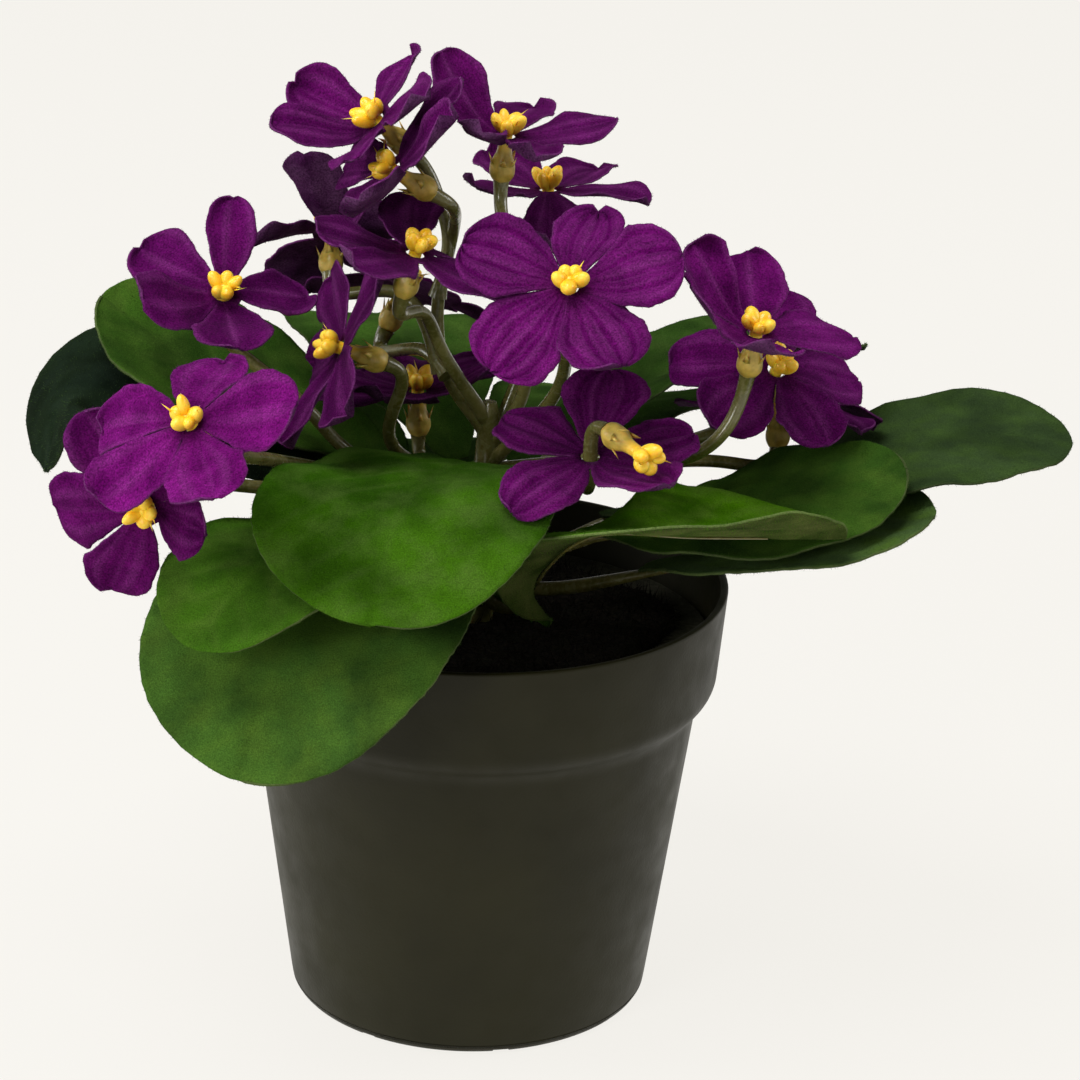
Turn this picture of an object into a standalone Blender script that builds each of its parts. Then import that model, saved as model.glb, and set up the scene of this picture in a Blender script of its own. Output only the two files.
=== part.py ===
"""Potted artificial African violet: fabric leaves and blooms on one moulded stem in a plastic pot.

Lengths in the tables are in millimetres, angles in degrees. World frame: +Z up, the viewer of the
front looks along +Y, the pot stands on Z = 0 with its axis on the Z axis.
"""
from math import cos, pi, radians, sin, sqrt, tan

import bmesh
import bpy
import numpy as np

MM = 0.001

# Pot: outer radii and heights of the foot, the body, the collar and the rim.
POT_SIDES = 40
POT_HEIGHT = 79.0
POT_RIM_R = 45.0
COLLAR_BOTTOM_R = 43.4
COLLAR_BOTTOM_Z = 60.5
BODY_TOP_R = 40.2
BODY_TOP_Z = 57.5
FOOT_R = 32.6
POT_WALL = 1.4
POT_FLOOR = 1.8
FOOT_EDGE = 2.2
RIM_EDGE = 0.5
INNER_FLOOR_R = 31.4
INNER_CORNER = 2.0
NOTCH_COUNT = 8
NOTCH_SIZE = (3.0, 3.0, 1.6)

# Filler block cast in the pot, dark ground cover on it, hole for the foot of the stem.
FILLER_TOP_Z = 68.5
COVER_TOP_Z = 71.4
COVER_R = 33.5
FIT_GAP = 0.35
STEM_HOLE_R = 3.1
HOLE_DEPTH = 10.9
COVER_SIDES = 30

# Stem bundle.
STEM_PATH = [(0.5, 0.0, 58.0), (0.5, 0.0, 78.0), (1.0, 0.0, 96.0), (1.5, 0.0, 112.0)]
STEM_R = (2.6, 2.6, 2.4, 1.8)
STEM_SIDES = 10
STALK_R = 1.15
STALK_STRAIGHT = 12.5
PETIOLE_R = 1.3
PETIOLE_SAG = 1.5
MIDRIB_R = 0.8
MIDRIB_TIP_R = 0.45
MIDRIB_STATIONS = 7
BASE_DROP = 0.4
TUBE_SIDES = 6
MIDRIB_SIDES = 5

# Leaf blades.
LEAF_THICK = 0.7
LEAF_STATIONS = (0.0, 0.14, 0.28, 0.42, 0.56, 0.70, 0.82, 0.92, 1.0)
LEAF_CELLS = 2
LEAF_WIDEST = 0.60
# share of the full half width at the base, and how late the blade widens
LEAF_SHAPE = (0.11, 1.25)
OWN_SHAPE = {"leaf_02": (0.46, 1.0), "leaf_06": (0.27, 3.0), "leaf_01": (0.3, 1.25)}

# Blooms: one fabric corolla with a centre hole, pushed over a yellow moulded heart.
PETAL_THICK = 0.6
HOLE_R = 1.65
HUB_R = 2.6
PETAL_R = (2.6, 7.5, 12.5, 16.8, 19.2)
PETAL_HALF = (1.6, 5.0, 7.4, 6.4, 3.0)
PETAL_DROOP = -14.0
LIFT_RISE = 2.2
TIP_ROUND = 0.8
SECTOR_SHARE = 0.9
HEART_SIDES = 8
HEART_PROFILE = [(0.95, -5.2), (0.95, -8.2), (1.6, -8.2), (2.15, -7.0), (2.15, -5.0),
                 (1.25, -2.6), (1.15, 0.9), (2.2, 1.4), (3.0, 2.4), (2.4, 3.6)]
HEART_TOP = 4.3
LOBE_DEPTH = 0.22
PEG_R = 0.6
PEG_TOP = -5.6
SHOULDER = -8.55

# leaf: midrib through four points, width, upward normals near the base, the middle and the tip,
# fold of the two halves (base, tip), curl of the two halves, start of the petiole on the stem
LEAVES = {
    "leaf_01": ([(0, -11, 86), (-14.5, -26, 93), (-30.5, -47, 86), (-38.5, -61, 66)], 54,
                [(0.1, -0.3, 1), (-0.05, -0.5, 0.9), (-0.09, -0.85, 0.5)], (6, 6), (-26, 0), 10, -6, 74),
    "leaf_02": ([(1.5, -8, 102.3), (-5, -26, 109), (-13, -47, 108), (-17, -66, 96)], 50,
                [(-0.05, -0.2, 1), (-0.12, -0.1, 1), (0, -0.6, 0.8)], (4, 4), (4, 4), -6, -6, 90),
    "leaf_03": ([(-11, -15, 95), (-24, -32.5, 99), (-37.5, -48, 97), (-46.5, -58, 88.5)], 38,
                [(0, 0.1, 1), (-0.2, 0, 1), (-0.3, -0.25, 0.9)], (-4, -6), (6, 6), 0, 0, 86),
    "leaf_04": ([(-12, 0, 99), (-30, 2, 106), (-50, 5, 115), (-67, 9, 127)], 42,
                [(0, 0, 1), (0, -0.1, 1), (0, -0.2, 1)], (8, 8), (8, 8), 5, 5, 88),
    "leaf_05": ([(-14, -5, 94), (-40, -4, 105.6), (-70, -5, 114), (-75, -11, 101)], 44,
                [(0, 0, 1), (0, -0.12, 1), (-1, -0.2, 0.3)], (4, 2), (4, 2), 0, 0, 79),
    "leaf_06": ([(8, -5, 74.5), (11.5, -22, 90), (20, -33, 100.5), (37, -36, 101.5), (62, -33, 100.6)],
                42, [(-0.2, -0.9, 0.1), (0, -0.1, 1), (0, 0, 1)], (4, 0), (0, 38), 0, 4, 76),
    "leaf_07": ([(22, 3, 90), (51, 7, 94), (82, 8, 103.8), (105.5, 8, 105)], 44,
                [(0, 0, 1), (0, 0, 1), (0, -0.25, 1)], (-12, 0), (6, 6), 0, 0, 81),
    "leaf_08": ([(29, -8, 84.5), (43, -12, 89.5), (62, -14, 94), (79, -12, 99)], 42,
                [(0, -0.1, 1), (0, -0.1, 1), (0, -0.1, 1)], (-22, 4), (6, 12), 0, 6, 77),
    "leaf_09": ([(12, 10, 100), (30, 22, 109), (50, 28, 113), (70, 31, 113.5)], 42,
                [(0, 0, 1), (0, 0, 1), (0, 0, 1)], (4, 0), (20, 20), 0, 0, 87),
    "leaf_10": ([(-4, 17, 95), (-12, 34, 107), (-19, 50, 111.5), (-24, 65, 104)], 40,
                [(0, 0, 1), (0, 0.2, 1), (0, 0.4, 1)], (2, 2), (2, 2), -4, -4, 86),
    "leaf_11": ([(-12, 9, 93), (-28, 24, 99), (-42, 37, 99), (-55, 48, 91)], 40,
                [(0, 0, 1), (0, 0.2, 1), (0, 0.4, 1)], (5, 5), (5, 5), 0, 0, 81),
    "leaf_12": ([(8, 13, 90), (18, 32, 97.5), (26, 50, 97), (33, 65, 89)], 44,
                [(0, 0, 1), (0, 0.2, 1), (0, 0.4, 1)], (4, 4), (4, 4), 0, 0, 76),
    "leaf_13": ([(-5, 14, 83), (-13, 36, 87), (-18, 57, 84), (-22, 72, 73)], 46,
                [(0, 0, 1), (0, 0.3, 1), (0, 0.6, 1)], (4, 4), (4, 4), 0, 0, 76),
    "leaf_14": ([(20, -9, 91.5), (39, -13, 96.4), (58, -13, 101.2), (74, -12, 105.7)], 38,
                [(0, 0, 1), (0, 0, 1), (0, -0.1, 1)], (0, 4), (-8, -6), 0, 0, 84),
}

# bloom: centre, azimuth and elevation of its axis, clock angle of the first petal,
# turn of each petal off the even fifth, lift of each petal toward the front
BLOOMS = {
    "bloom_01": ((14, -36.5, 144.7), 0, 50, 9, (6, -5, 1, -3, -4), (-11, 23, 18, -14, 10)),
    "bloom_02": ((3.2, -3, 160.8), 25, 80, 26, (14, 6, 20, -22, 18), (4, 20, 25, 39, 49)),
    "bloom_03": ((-18.8, -1.3, 162.5), -71, 44, -27, (-21, 20, -1, 19, -7), (-5, 22, 33, 62, 43)),
    "bloom_04": ((-44, -16.2, 135.6), 9, 54, 18, (-9, -13, 15, 10, 8), (18, -25, 43, 45, -11)),
    "bloom_05": ((-46.6, -56, 126.4), -22, 43, -4, (1, 8, 3, 10, -19), (-20, 21, 29, -7, -12)),
    "bloom_06": ((-55, -42, 106.5), -12, -2, 42, (-11, -14, 18, -2, -1), (56, 49, 1, -8, 12)),
    "bloom_07": ((45.6, -27.3, 134.4), 21, 73, 34, (-18, -18, 18, 18, 9), (20, -3, 37, 56, 51)),
    "bloom_08": ((18.3, -38, 115.7), 2, 71, 8, (5, -13, -13, 0, 17), (24, 1, 28, 12, 1)),
    "bloom_09": ((-27.3, 18.8, 136.2), -178, 42, 0, (15, -18, 9, -1, 0), (24, -26, 11, 22, 7)),
    "bloom_10": ((-15.4, -13.3, 157), -70, 33, -14, (18, -13, -18, 23, -22), (5, 20, 41, -4, 13)),
    "bloom_11": ((-24, -16.3, 126.5), -80, 21, -50, (-18, 1, 14, -5, 3), (18, 6, 8, 25, 6)),
    "bloom_12": ((-11.6, -20.3, 144.7), 54, 72, 32, (19, -18, -6, 19, -20), (8, -24, 8, 20, 19)),
    "bloom_13": ((-11.3, 10, 110.2), -36, 87, 82, (-19, 7, 2, 1, 2), (43, 27, 19, 3, 16)),
    "bloom_14": ((50.9, -8.5, 121.8), 21, 55, 20, (0, -4, 2, 3, -10), (8, -21, 10, 9, -15)),
    "bloom_15": ((53.7, 15, 108), 175, 69, -36, (-17, 2, 1, 0, -1), (-8, 11, 2, 4, 4)),
    "bloom_16": ((11, 18.5, 145.4), 187, 89, -3, (8, -19, 11, 3, 16), (-7, 19, 14, 11, 15)),
    "bloom_17": ((-14.3, 20.5, 126.3), 130, 62, -1, (-13, 2, 3, 0, 13), (31, -20, 3, 8, 15)),
}

# one heart sits clear of its corolla, which has slipped down the stalk
SLIPPED_HEART = {"bloom_08": ((25.8, -48.3, 120.3), 38, -10)}

# flower stalks: points from the stem up to the heart
STALKS = {
    "bloom_01": [(1.2, 0, 100), (13, -10, 117)],
    "bloom_02": [(1.4, 0, 104), (8, -2, 116), (4, -8, 142)],
    "bloom_03": [(1.3, 0, 106), (-6.4, 0, 117), (-8, 0, 130), (-6, 0, 141), (-8, 1, 148)],
    "bloom_04": [(0.8, 0, 95), (-21, -10, 104), (-31, -12, 115.5)],
    "bloom_05": [(0.8, 0, 93), (-27, -16, 104.5), (-37, -32, 112)],
    "bloom_06": [(0.8, 0, 91), (-28, -24, 103)],
    "bloom_07": [(1.0, 0, 98), (28, -20, 107.5), (40, -26, 114)],
    "bloom_08": [(1.0, 0, 97), (16, -15, 104)],
    "bloom_09": [(-7.2, -2, 118), (-13, 1, 131)],
    "bloom_10": [(-8, 0, 131), (-5.5, 0, 143)],
    "bloom_11": [(0.9, 0, 96), (-16, -8, 106)],
    "bloom_12": [(1.4, 0, 108), (-7, -6, 123), (-10, -8, 131)],
    "bloom_13": [(0.9, 0, 98), (-8, 6, 98)],
    "bloom_14": [(1.1, 0, 99), (34, -8, 107.5)],
    "bloom_15": [(1.0, 0, 94), (22, 5, 98), (42, 10, 98.5)],
    "bloom_16": [(1.4, 0, 102), (9, 8, 122)],
    "bloom_17": [(-6, -4, 118), (-10, 1, 121)],
}

POT_COLOUR = (0.030, 0.028, 0.020)
FILLER_COLOUR = (0.16, 0.15, 0.12)
COVER_COLOUR = (0.012, 0.011, 0.009)
STEM_COLOUR = (0.12, 0.10, 0.025)
LEAF_COLOUR = (0.045, 0.13, 0.015)
PETAL_COLOUR = (0.14, 0.008, 0.17)
HEART_COLOUR = (0.80, 0.46, 0.02)


def unit(v):
    v = np.asarray(v, float)
    return v / np.linalg.norm(v, axis=-1, keepdims=True)


def smooth_path(points, at):
    """Points at the given fractions of the length of a smooth curve through the given points."""
    p = np.array(points, float)
    ext = np.vstack([2 * p[0] - p[1], p, 2 * p[-1] - p[-2]])
    fine = []
    for i in range(len(p) - 1):
        a, b, c, d = ext[i:i + 4]
        for t in np.linspace(0, 1, 24, endpoint=False):
            q = 2 * b + (c - a) * t + (2 * a - 5 * b + 4 * c - d) * t ** 2
            fine.append(0.5 * (q + (3 * b - a - 3 * c + d) * t ** 3))
    fine.append(p[-1])
    fine = np.array(fine)
    run = np.r_[0, np.cumsum(np.linalg.norm(np.diff(fine, axis=0), axis=1))]
    want = np.array(at) * run[-1]
    return np.stack([np.interp(want, run, fine[:, k]) for k in range(3)], axis=1)


def half_width(s, shape):
    """Spatula outline: share of the full half width at fraction s of the length."""
    base, late = shape
    if s < LEAF_WIDEST:
        return base + (1 - base) * sin(0.5 * pi * s / LEAF_WIDEST) ** late
    return sqrt(max(0.0, 1 - ((s - LEAF_WIDEST) / (1 - LEAF_WIDEST)) ** 2))


def across(u, w, fold, curl):
    """Distance out from the midrib and up at fraction u of a half blade that is w wide."""
    start = radians(fold)
    turn = radians(curl)
    if abs(turn) < 1e-6:
        return w * u * cos(start), w * u * sin(start)
    out = w / turn * (sin(start + turn * u) - sin(start))
    return out, w / turn * (cos(start) - cos(start + turn * u))


def leaf_frames(spec):
    """Midrib point, side vector and upward normal at every station of a blade."""
    path, _, normals = spec[:3]
    keys = unit(normals)
    mid = smooth_path(path, LEAF_STATIONS)
    ahead = smooth_path(path, np.minimum(1, np.array(LEAF_STATIONS) + 0.01))
    behind = smooth_path(path, np.maximum(0, np.array(LEAF_STATIONS) - 0.01))
    frames = []
    for s, m, a, b in zip(LEAF_STATIONS, mid, ahead, behind):
        t = unit(a - b)
        n = np.array([np.interp(s, (0, 0.4, 1), keys[:, k]) for k in range(3)])
        n = unit(n - (n @ t) * t)
        frames.append((m, np.cross(t, n), n))
    return frames


def make_object(name, verts, faces, colour, rough):
    mesh = bpy.data.meshes.new(name)
    mesh.from_pydata([tuple(float(c) * MM for c in v) for v in verts], [], faces)
    obj = bpy.data.objects.new(name, mesh)
    bpy.context.scene.collection.objects.link(obj)
    work = bmesh.new()
    work.from_mesh(mesh)
    bmesh.ops.recalc_face_normals(work, faces=work.faces)
    work.to_mesh(mesh)
    work.free()
    paint(obj, colour, rough)
    return obj


def paint(obj, colour, rough):
    mat = bpy.data.materials.new(obj.name)
    mat.use_nodes = True
    shader = mat.node_tree.nodes["Principled BSDF"]
    shader.inputs["Base Color"].default_value = (*colour, 1)
    shader.inputs["Roughness"].default_value = rough
    obj.data.materials.clear()
    obj.data.materials.append(mat)


def thicken(points, tris, thick):
    """Closed sheet of even thickness about a triangulated surface, both faces split alike."""
    p = np.array(points, float)
    normal = np.zeros_like(p)
    for a, b, c in tris:
        n = np.cross(p[b] - p[a], p[c] - p[a])
        for i in (a, b, c):
            normal[i] += n
    normal = unit(normal)
    count = len(p)
    verts = np.vstack([p + normal * thick / 2, p - normal * thick / 2])
    faces = [tuple(t) for t in tris]
    faces += [(c + count, b + count, a + count) for a, b, c in tris]
    edges = {(a, b) for t in tris for a, b in zip(t, t[1:] + t[:1])}
    for a, b in sorted(edges):
        if (b, a) not in edges:
            faces.append((b, a, a + count))
            faces.append((b, a + count, b + count))
    return verts, faces


def make_leaf(name, spec):
    width, fold_l, fold_r, curl_l, curl_r = spec[1], *spec[3:7]
    points = []
    across_count = 2 * LEAF_CELLS + 1
    shape = OWN_SHAPE.get(name, LEAF_SHAPE)
    for s, (m, side, n) in zip(LEAF_STATIONS[:-1], leaf_frames(spec)):
        w = 0.5 * width * half_width(s, shape)
        for u in np.linspace(-1, 1, across_count):
            fold, curl = (fold_l, curl_l) if u < 0 else (fold_r, curl_r)
            out, up = across(abs(u), w, fold[0] * (1 - s) + fold[1] * s, curl)
            points.append(m + side * out * np.sign(u) + n * up)
    points.append(np.array(spec[0][-1], float))
    tip = len(points) - 1
    tris = []
    for j in range(len(LEAF_STATIONS) - 2):
        for i in range(across_count - 1):
            a = j * across_count + i
            b = a + across_count
            if i < LEAF_CELLS:
                tris += [(a, a + 1, b + 1), (a, b + 1, b)]
            else:
                tris += [(a, a + 1, b), (a + 1, b + 1, b)]
    last = tip - across_count
    tris += [(last + i, last + i + 1, tip) for i in range(across_count - 1)]
    verts, faces = thicken(points, tris, LEAF_THICK)
    return make_object(name, verts, faces, LEAF_COLOUR, 0.9)


def bloom_frame(az, el):
    a = radians(az)
    e = radians(el)
    axis = np.array([sin(a) * cos(e), -cos(a) * cos(e), sin(e)])
    up = np.array([-sin(a) * sin(e), cos(a) * sin(e), cos(e)])
    return axis, up, np.cross(up, axis)


def make_corolla(name, spec):
    """Five petals round a hub with a hole, each petal kept inside its own sector."""
    centre, az, el, spin, turns, lifts = spec
    centre = np.array(centre, float)
    axis, up, right = bloom_frame(az, el)
    angles = [spin + 72 * i + turns[i] for i in range(5)]
    points = []
    tris = []
    for i in range(5):
        before = (angles[i] - angles[i - 1]) % 360 / 2
        after = (angles[(i + 1) % 5] - angles[i]) % 360 / 2
        a = radians(angles[i])
        along = cos(a) * up + sin(a) * right
        side = cos(a) * right - sin(a) * up
        r = HUB_R
        z = 0.0
        base = len(points)
        for j, half in enumerate(PETAL_HALF):
            if j:
                at = 0.5 * (PETAL_R[j] + PETAL_R[j - 1]) / PETAL_R[-1]
                lift = radians(lifts[i] * min(1, LIFT_RISE * at) + PETAL_DROOP * at)
                r += (PETAL_R[j] - PETAL_R[j - 1]) * cos(lift)
                z += (PETAL_R[j] - PETAL_R[j - 1]) * sin(lift)
            for k, gap in ((-1, before), (0, before), (1, after)):
                w = min(half, SECTOR_SHARE * r * tan(radians(gap)))
                reach = r - TIP_ROUND if j == 4 and k else r
                points.append(centre + along * reach + side * k * w + axis * z)
        for j in range(4):
            p = base + 3 * j
            tris += [(p, p + 1, p + 4), (p, p + 4, p + 3)]
            tris += [(p + 1, p + 2, p + 4), (p + 2, p + 5, p + 4)]
        mid = radians(angles[i] + after)
        points.append(centre + HOLE_R * along)
        points.append(centre + HOLE_R * (cos(mid) * up + sin(mid) * right))
    each = 17
    for i in range(5):
        here = each * i
        there = each * ((i + 1) % 5)
        tris += [(here + 15, here + 1, here), (here + 15, here + 2, here + 1)]
        tris += [(here + 15, here + 16, here + 2), (here + 16, there, here + 2)]
        tris += [(here + 16, there + 15, there)]
    verts, faces = thicken(points, tris, PETAL_THICK)
    return make_object(name, verts, faces, PETAL_COLOUR, 0.9)


def make_heart(name, centre, az, el):
    """Calyx bulb with the socket for the stalk, neck and four anther lobes in one moulding."""
    centre = np.array(centre, float)
    axis, up, right = bloom_frame(az, el)
    verts = [centre + axis * HEART_PROFILE[0][1]]
    for r, z in HEART_PROFILE:
        for k in range(HEART_SIDES):
            a = 2 * pi * k / HEART_SIDES
            lobe = 1 + LOBE_DEPTH * cos(4 * a) if z > 1 else 1
            verts.append(centre + axis * z + r * lobe * (cos(a) * up + sin(a) * right))
    verts.append(centre + axis * HEART_TOP)
    faces = []
    rings = len(HEART_PROFILE)
    for k in range(HEART_SIDES):
        m = (k + 1) % HEART_SIDES
        faces.append((0, 1 + k, 1 + m))
        for j in range(rings - 1):
            a = 1 + j * HEART_SIDES
            b = a + HEART_SIDES
            faces.append((a + k, b + k, b + m))
            faces.append((a + k, b + m, a + m))
        top = 1 + (rings - 1) * HEART_SIDES
        faces.append((top + k, len(verts) - 1, top + m))
    return make_object(name, verts, faces, HEART_COLOUR, 0.4)


def make_tube(name, path, radii, sides):
    """Closed round bar along a path; a step is two radii at one point."""
    path = np.array(path, float)
    radii = list(radii)
    gap = np.linalg.norm(np.diff(path, axis=0), axis=1)
    solid = [i for i in range(len(gap)) if gap[i] > 1e-6]
    verts = []
    turn = None
    for i in range(len(path)):
        near = [k for k in solid if k < i][-1:] + [k for k in solid if k >= i][:1]
        t = unit(sum(unit(path[k + 1] - path[k]) for k in near))
        if turn is None:
            turn = np.cross(t, (0.31, 0.87, 0.12))
        turn = unit(turn - (turn @ t) * t)
        other = np.cross(t, turn)
        for k in range(sides):
            a = 2 * pi * (k + 0.5) / sides
            verts.append(path[i] + radii[i] * (cos(a) * turn + sin(a) * other))
    faces = [tuple(range(sides))[::-1], tuple(range(len(verts) - sides, len(verts)))]
    for j in range(len(path) - 1):
        for k in range(sides):
            a = j * sides + k
            b = j * sides + (k + 1) % sides
            faces.append((a, b, b + sides, a + sides))
    return make_object(name, verts, faces, STEM_COLOUR, 0.3)


def make_revolve(name, profile, sides, colour, rough, squash=None):
    """Solid of revolution about Z from a profile that starts and ends on the axis or closes."""
    verts = []
    faces = []
    on_axis = profile[0][0] < 1e-9
    rows = profile[1:-1] if on_axis else profile
    for r, z in rows:
        for k in range(sides):
            a = 2 * pi * k / sides
            f = squash(a) if squash and r > 5 else 1
            verts.append((r * f * cos(a), r * f * sin(a), z))
    count = len(rows)
    for j in range(count - 1 if on_axis else count):
        for k in range(sides):
            m = (k + 1) % sides
            a = j * sides
            b = (j + 1) % count * sides
            faces.append((a + k, a + m, b + m, b + k))
    if on_axis:
        verts += [(0, 0, profile[0][1]), (0, 0, profile[-1][1])]
        top = (count - 1) * sides
        for k in range(sides):
            m = (k + 1) % sides
            faces.append((k, m, len(verts) - 2))
            faces.append((top + k, top + m, len(verts) - 1))
    return make_object(name, verts, faces, colour, rough)


def combine(target, tools, operation):
    """One Boolean with a collection of tools, then the tools go."""
    group = bpy.data.collections.new(target.name + "_tools")
    bpy.context.scene.collection.children.link(group)
    for tool in tools:
        bpy.context.scene.collection.objects.unlink(tool)
        group.objects.link(tool)
        tool.hide_render = True
        tool.display_type = "WIRE"
    mod = target.modifiers.new("combine", "BOOLEAN")
    mod.operation = operation
    mod.operand_type = "COLLECTION"
    mod.collection = group
    mod.solver = "EXACT"
    mod.use_self = False
    bpy.context.view_layer.update()
    graph = bpy.context.evaluated_depsgraph_get()
    mesh = bpy.data.meshes.new_from_object(target.evaluated_get(graph), depsgraph=graph)
    target.modifiers.remove(mod)
    target.data = mesh
    for tool in tools:
        bpy.data.objects.remove(tool, do_unlink=True)
    bpy.data.collections.remove(group)
    work = bmesh.new()
    work.from_mesh(mesh)
    bmesh.ops.remove_doubles(work, verts=work.verts, dist=2e-6)
    bmesh.ops.triangulate(work, faces=work.faces)
    work.to_mesh(mesh)
    work.free()


for old in list(bpy.data.objects):
    bpy.data.objects.remove(old, do_unlink=True)

# Pot: thin-walled moulding with a collar band, open at the top, notched round the foot.
pot_profile = [
    (0, 0), (FOOT_R - FOOT_EDGE, 0), (FOOT_R - 0.3 * FOOT_EDGE, 0.3 * FOOT_EDGE),
    (FOOT_R, FOOT_EDGE), (BODY_TOP_R, BODY_TOP_Z),
    (COLLAR_BOTTOM_R, COLLAR_BOTTOM_Z), (POT_RIM_R, POT_HEIGHT - RIM_EDGE),
    (POT_RIM_R - RIM_EDGE, POT_HEIGHT), (POT_RIM_R - POT_WALL, POT_HEIGHT - 0.5 * RIM_EDGE),
    (COLLAR_BOTTOM_R - POT_WALL, COLLAR_BOTTOM_Z + 0.9),
    (BODY_TOP_R - POT_WALL, BODY_TOP_Z),
    (INNER_FLOOR_R - 0.7 * INNER_CORNER, POT_FLOOR + INNER_CORNER),
    (INNER_FLOOR_R - 1.7 * INNER_CORNER, POT_FLOOR), (0, POT_FLOOR),
]
pot = make_revolve("pot", pot_profile, POT_SIDES, POT_COLOUR, 0.6)
notches = []
for i in range(NOTCH_COUNT):
    a = 2 * pi * (i + 0.25) / NOTCH_COUNT
    sx, sy, sz = NOTCH_SIZE
    out = np.array([cos(a), sin(a), 0])
    tan_dir = np.array([-sin(a), cos(a), 0])
    corners = []
    for z in (-1.0, sz):
        for k, m in ((-1, -1), (1, -1), (1, 1), (-1, 1)):
            corners.append(out * (FOOT_R + 0.6 + k * sx / 2) + tan_dir * m * sy / 2 + (0, 0, z))
    box = [(3, 2, 1, 0), (4, 5, 6, 7), (0, 1, 5, 4), (1, 2, 6, 5), (2, 3, 7, 6), (3, 0, 4, 7)]
    notches.append(make_object("notch_%d" % i, corners, box, POT_COLOUR, 0.6))
combine(pot, notches, "DIFFERENCE")

# Filler: block cast in the pot, following its wall, with the hole the stem stands in.
low_r = INNER_FLOOR_R - 1.7 * INNER_CORNER - FIT_GAP
low_z = POT_FLOOR + FIT_GAP
hole_z = FILLER_TOP_Z - HOLE_DEPTH
filler_profile = [
    (0, hole_z), (STEM_HOLE_R, hole_z), (STEM_HOLE_R, FILLER_TOP_Z),
    (COLLAR_BOTTOM_R - POT_WALL + 0.2, FILLER_TOP_Z),
    (COLLAR_BOTTOM_R - POT_WALL - FIT_GAP, COLLAR_BOTTOM_Z + 1.1),
    (BODY_TOP_R - POT_WALL - FIT_GAP, BODY_TOP_Z + 0.1),
    (INNER_FLOOR_R - 0.7 * INNER_CORNER - FIT_GAP, POT_FLOOR + 1.2 * INNER_CORNER),
    (low_r - 0.2, low_z), (0, low_z),
]
make_revolve("filler", filler_profile, POT_SIDES, FILLER_COLOUR, 0.95)

# Ground cover: dark fibrous mat on the filler, ragged outline, hole for the stem.
cover_profile = [
    (STEM_HOLE_R, COVER_TOP_Z), (STEM_HOLE_R, FILLER_TOP_Z + FIT_GAP),
    (COVER_R, FILLER_TOP_Z + FIT_GAP), (COVER_R - 1.2, COVER_TOP_Z - 0.9),
]
make_revolve("cover", cover_profile, COVER_SIDES, COVER_COLOUR, 1.0,
             lambda a: 1 + 0.07 * sin(3 * a + 0.6) + 0.035 * sin(7 * a))

# Stem: foot, petioles with midribs, and flower stalks, moulded in one.
along_stem = np.linspace(0, 1, 7)
stem = make_tube("stems", smooth_path(STEM_PATH, along_stem),
                 np.interp(along_stem, (0, 0.35, 0.7, 1), STEM_R), STEM_SIDES)
branches = []
for name, spec in LEAVES.items():
    frames = leaf_frames(spec)
    drop = LEAF_THICK / 2 + FIT_GAP + MIDRIB_R
    under = []
    for s, (m, _, n) in zip(LEAF_STATIONS[:MIDRIB_STATIONS], frames):
        under.append(m - n * (drop + BASE_DROP * (1 - s)))
    root = np.array([STEM_PATH[0][0], 0.0, spec[7]])
    sag = 0.5 * (root + under[0]) - (0, 0, PETIOLE_SAG)
    lead = smooth_path([root, sag, under[0]], (0, 0.34, 0.67))
    path = list(lead) + under
    radii = [PETIOLE_R, PETIOLE_R, 0.85 * PETIOLE_R]
    radii += list(np.linspace(MIDRIB_R, MIDRIB_TIP_R, MIDRIB_STATIONS))
    branches.append(make_tube(name + "_petiole", path, radii, MIDRIB_SIDES))
for name, spec in BLOOMS.items():
    centre, az, el = SLIPPED_HEART.get(name, spec[:3])
    axis = bloom_frame(az, el)[0]
    centre = np.array(centre, float)
    way = list(STALKS[name])
    if name in SLIPPED_HEART:
        own = bloom_frame(spec[1], spec[2])[0]
        way += [np.array(spec[0]) - 7 * own, np.array(spec[0]), np.array(spec[0]) + 3.5 * own]
    way += [centre - STALK_STRAIGHT * axis, centre + SHOULDER * axis]
    steps = 3 + 2 * len(way)
    path = list(smooth_path(way, np.linspace(0, 1, steps)))
    path += [centre + SHOULDER * axis, centre + PEG_TOP * axis]
    radii = [STALK_R] * steps + [PEG_R, PEG_R]
    branches.append(make_tube(name + "_stalk", path, radii, TUBE_SIDES))
combine(stem, branches, "UNION")
paint(stem, STEM_COLOUR, 0.3)

for name, spec in LEAVES.items():
    make_leaf(name, spec)

for name, spec in BLOOMS.items():
    make_corolla(name + "_petals", spec)
    centre, az, el = SLIPPED_HEART.get(name, spec[:3])
    make_heart(name + "_heart", centre, az, el)
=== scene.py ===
"""Artificial African violet in a plastic pot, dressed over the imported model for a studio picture.

Lengths in the tables are in millimetres and angles in degrees, as the part itself is drawn, and
turn to metres where a mesh is made. +Z is up, and the viewer of the front looks along +Y.
"""
from math import cos, pi, radians, sin, sqrt, tan

import bpy
import numpy as np
from mathutils import Matrix, Vector


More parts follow.
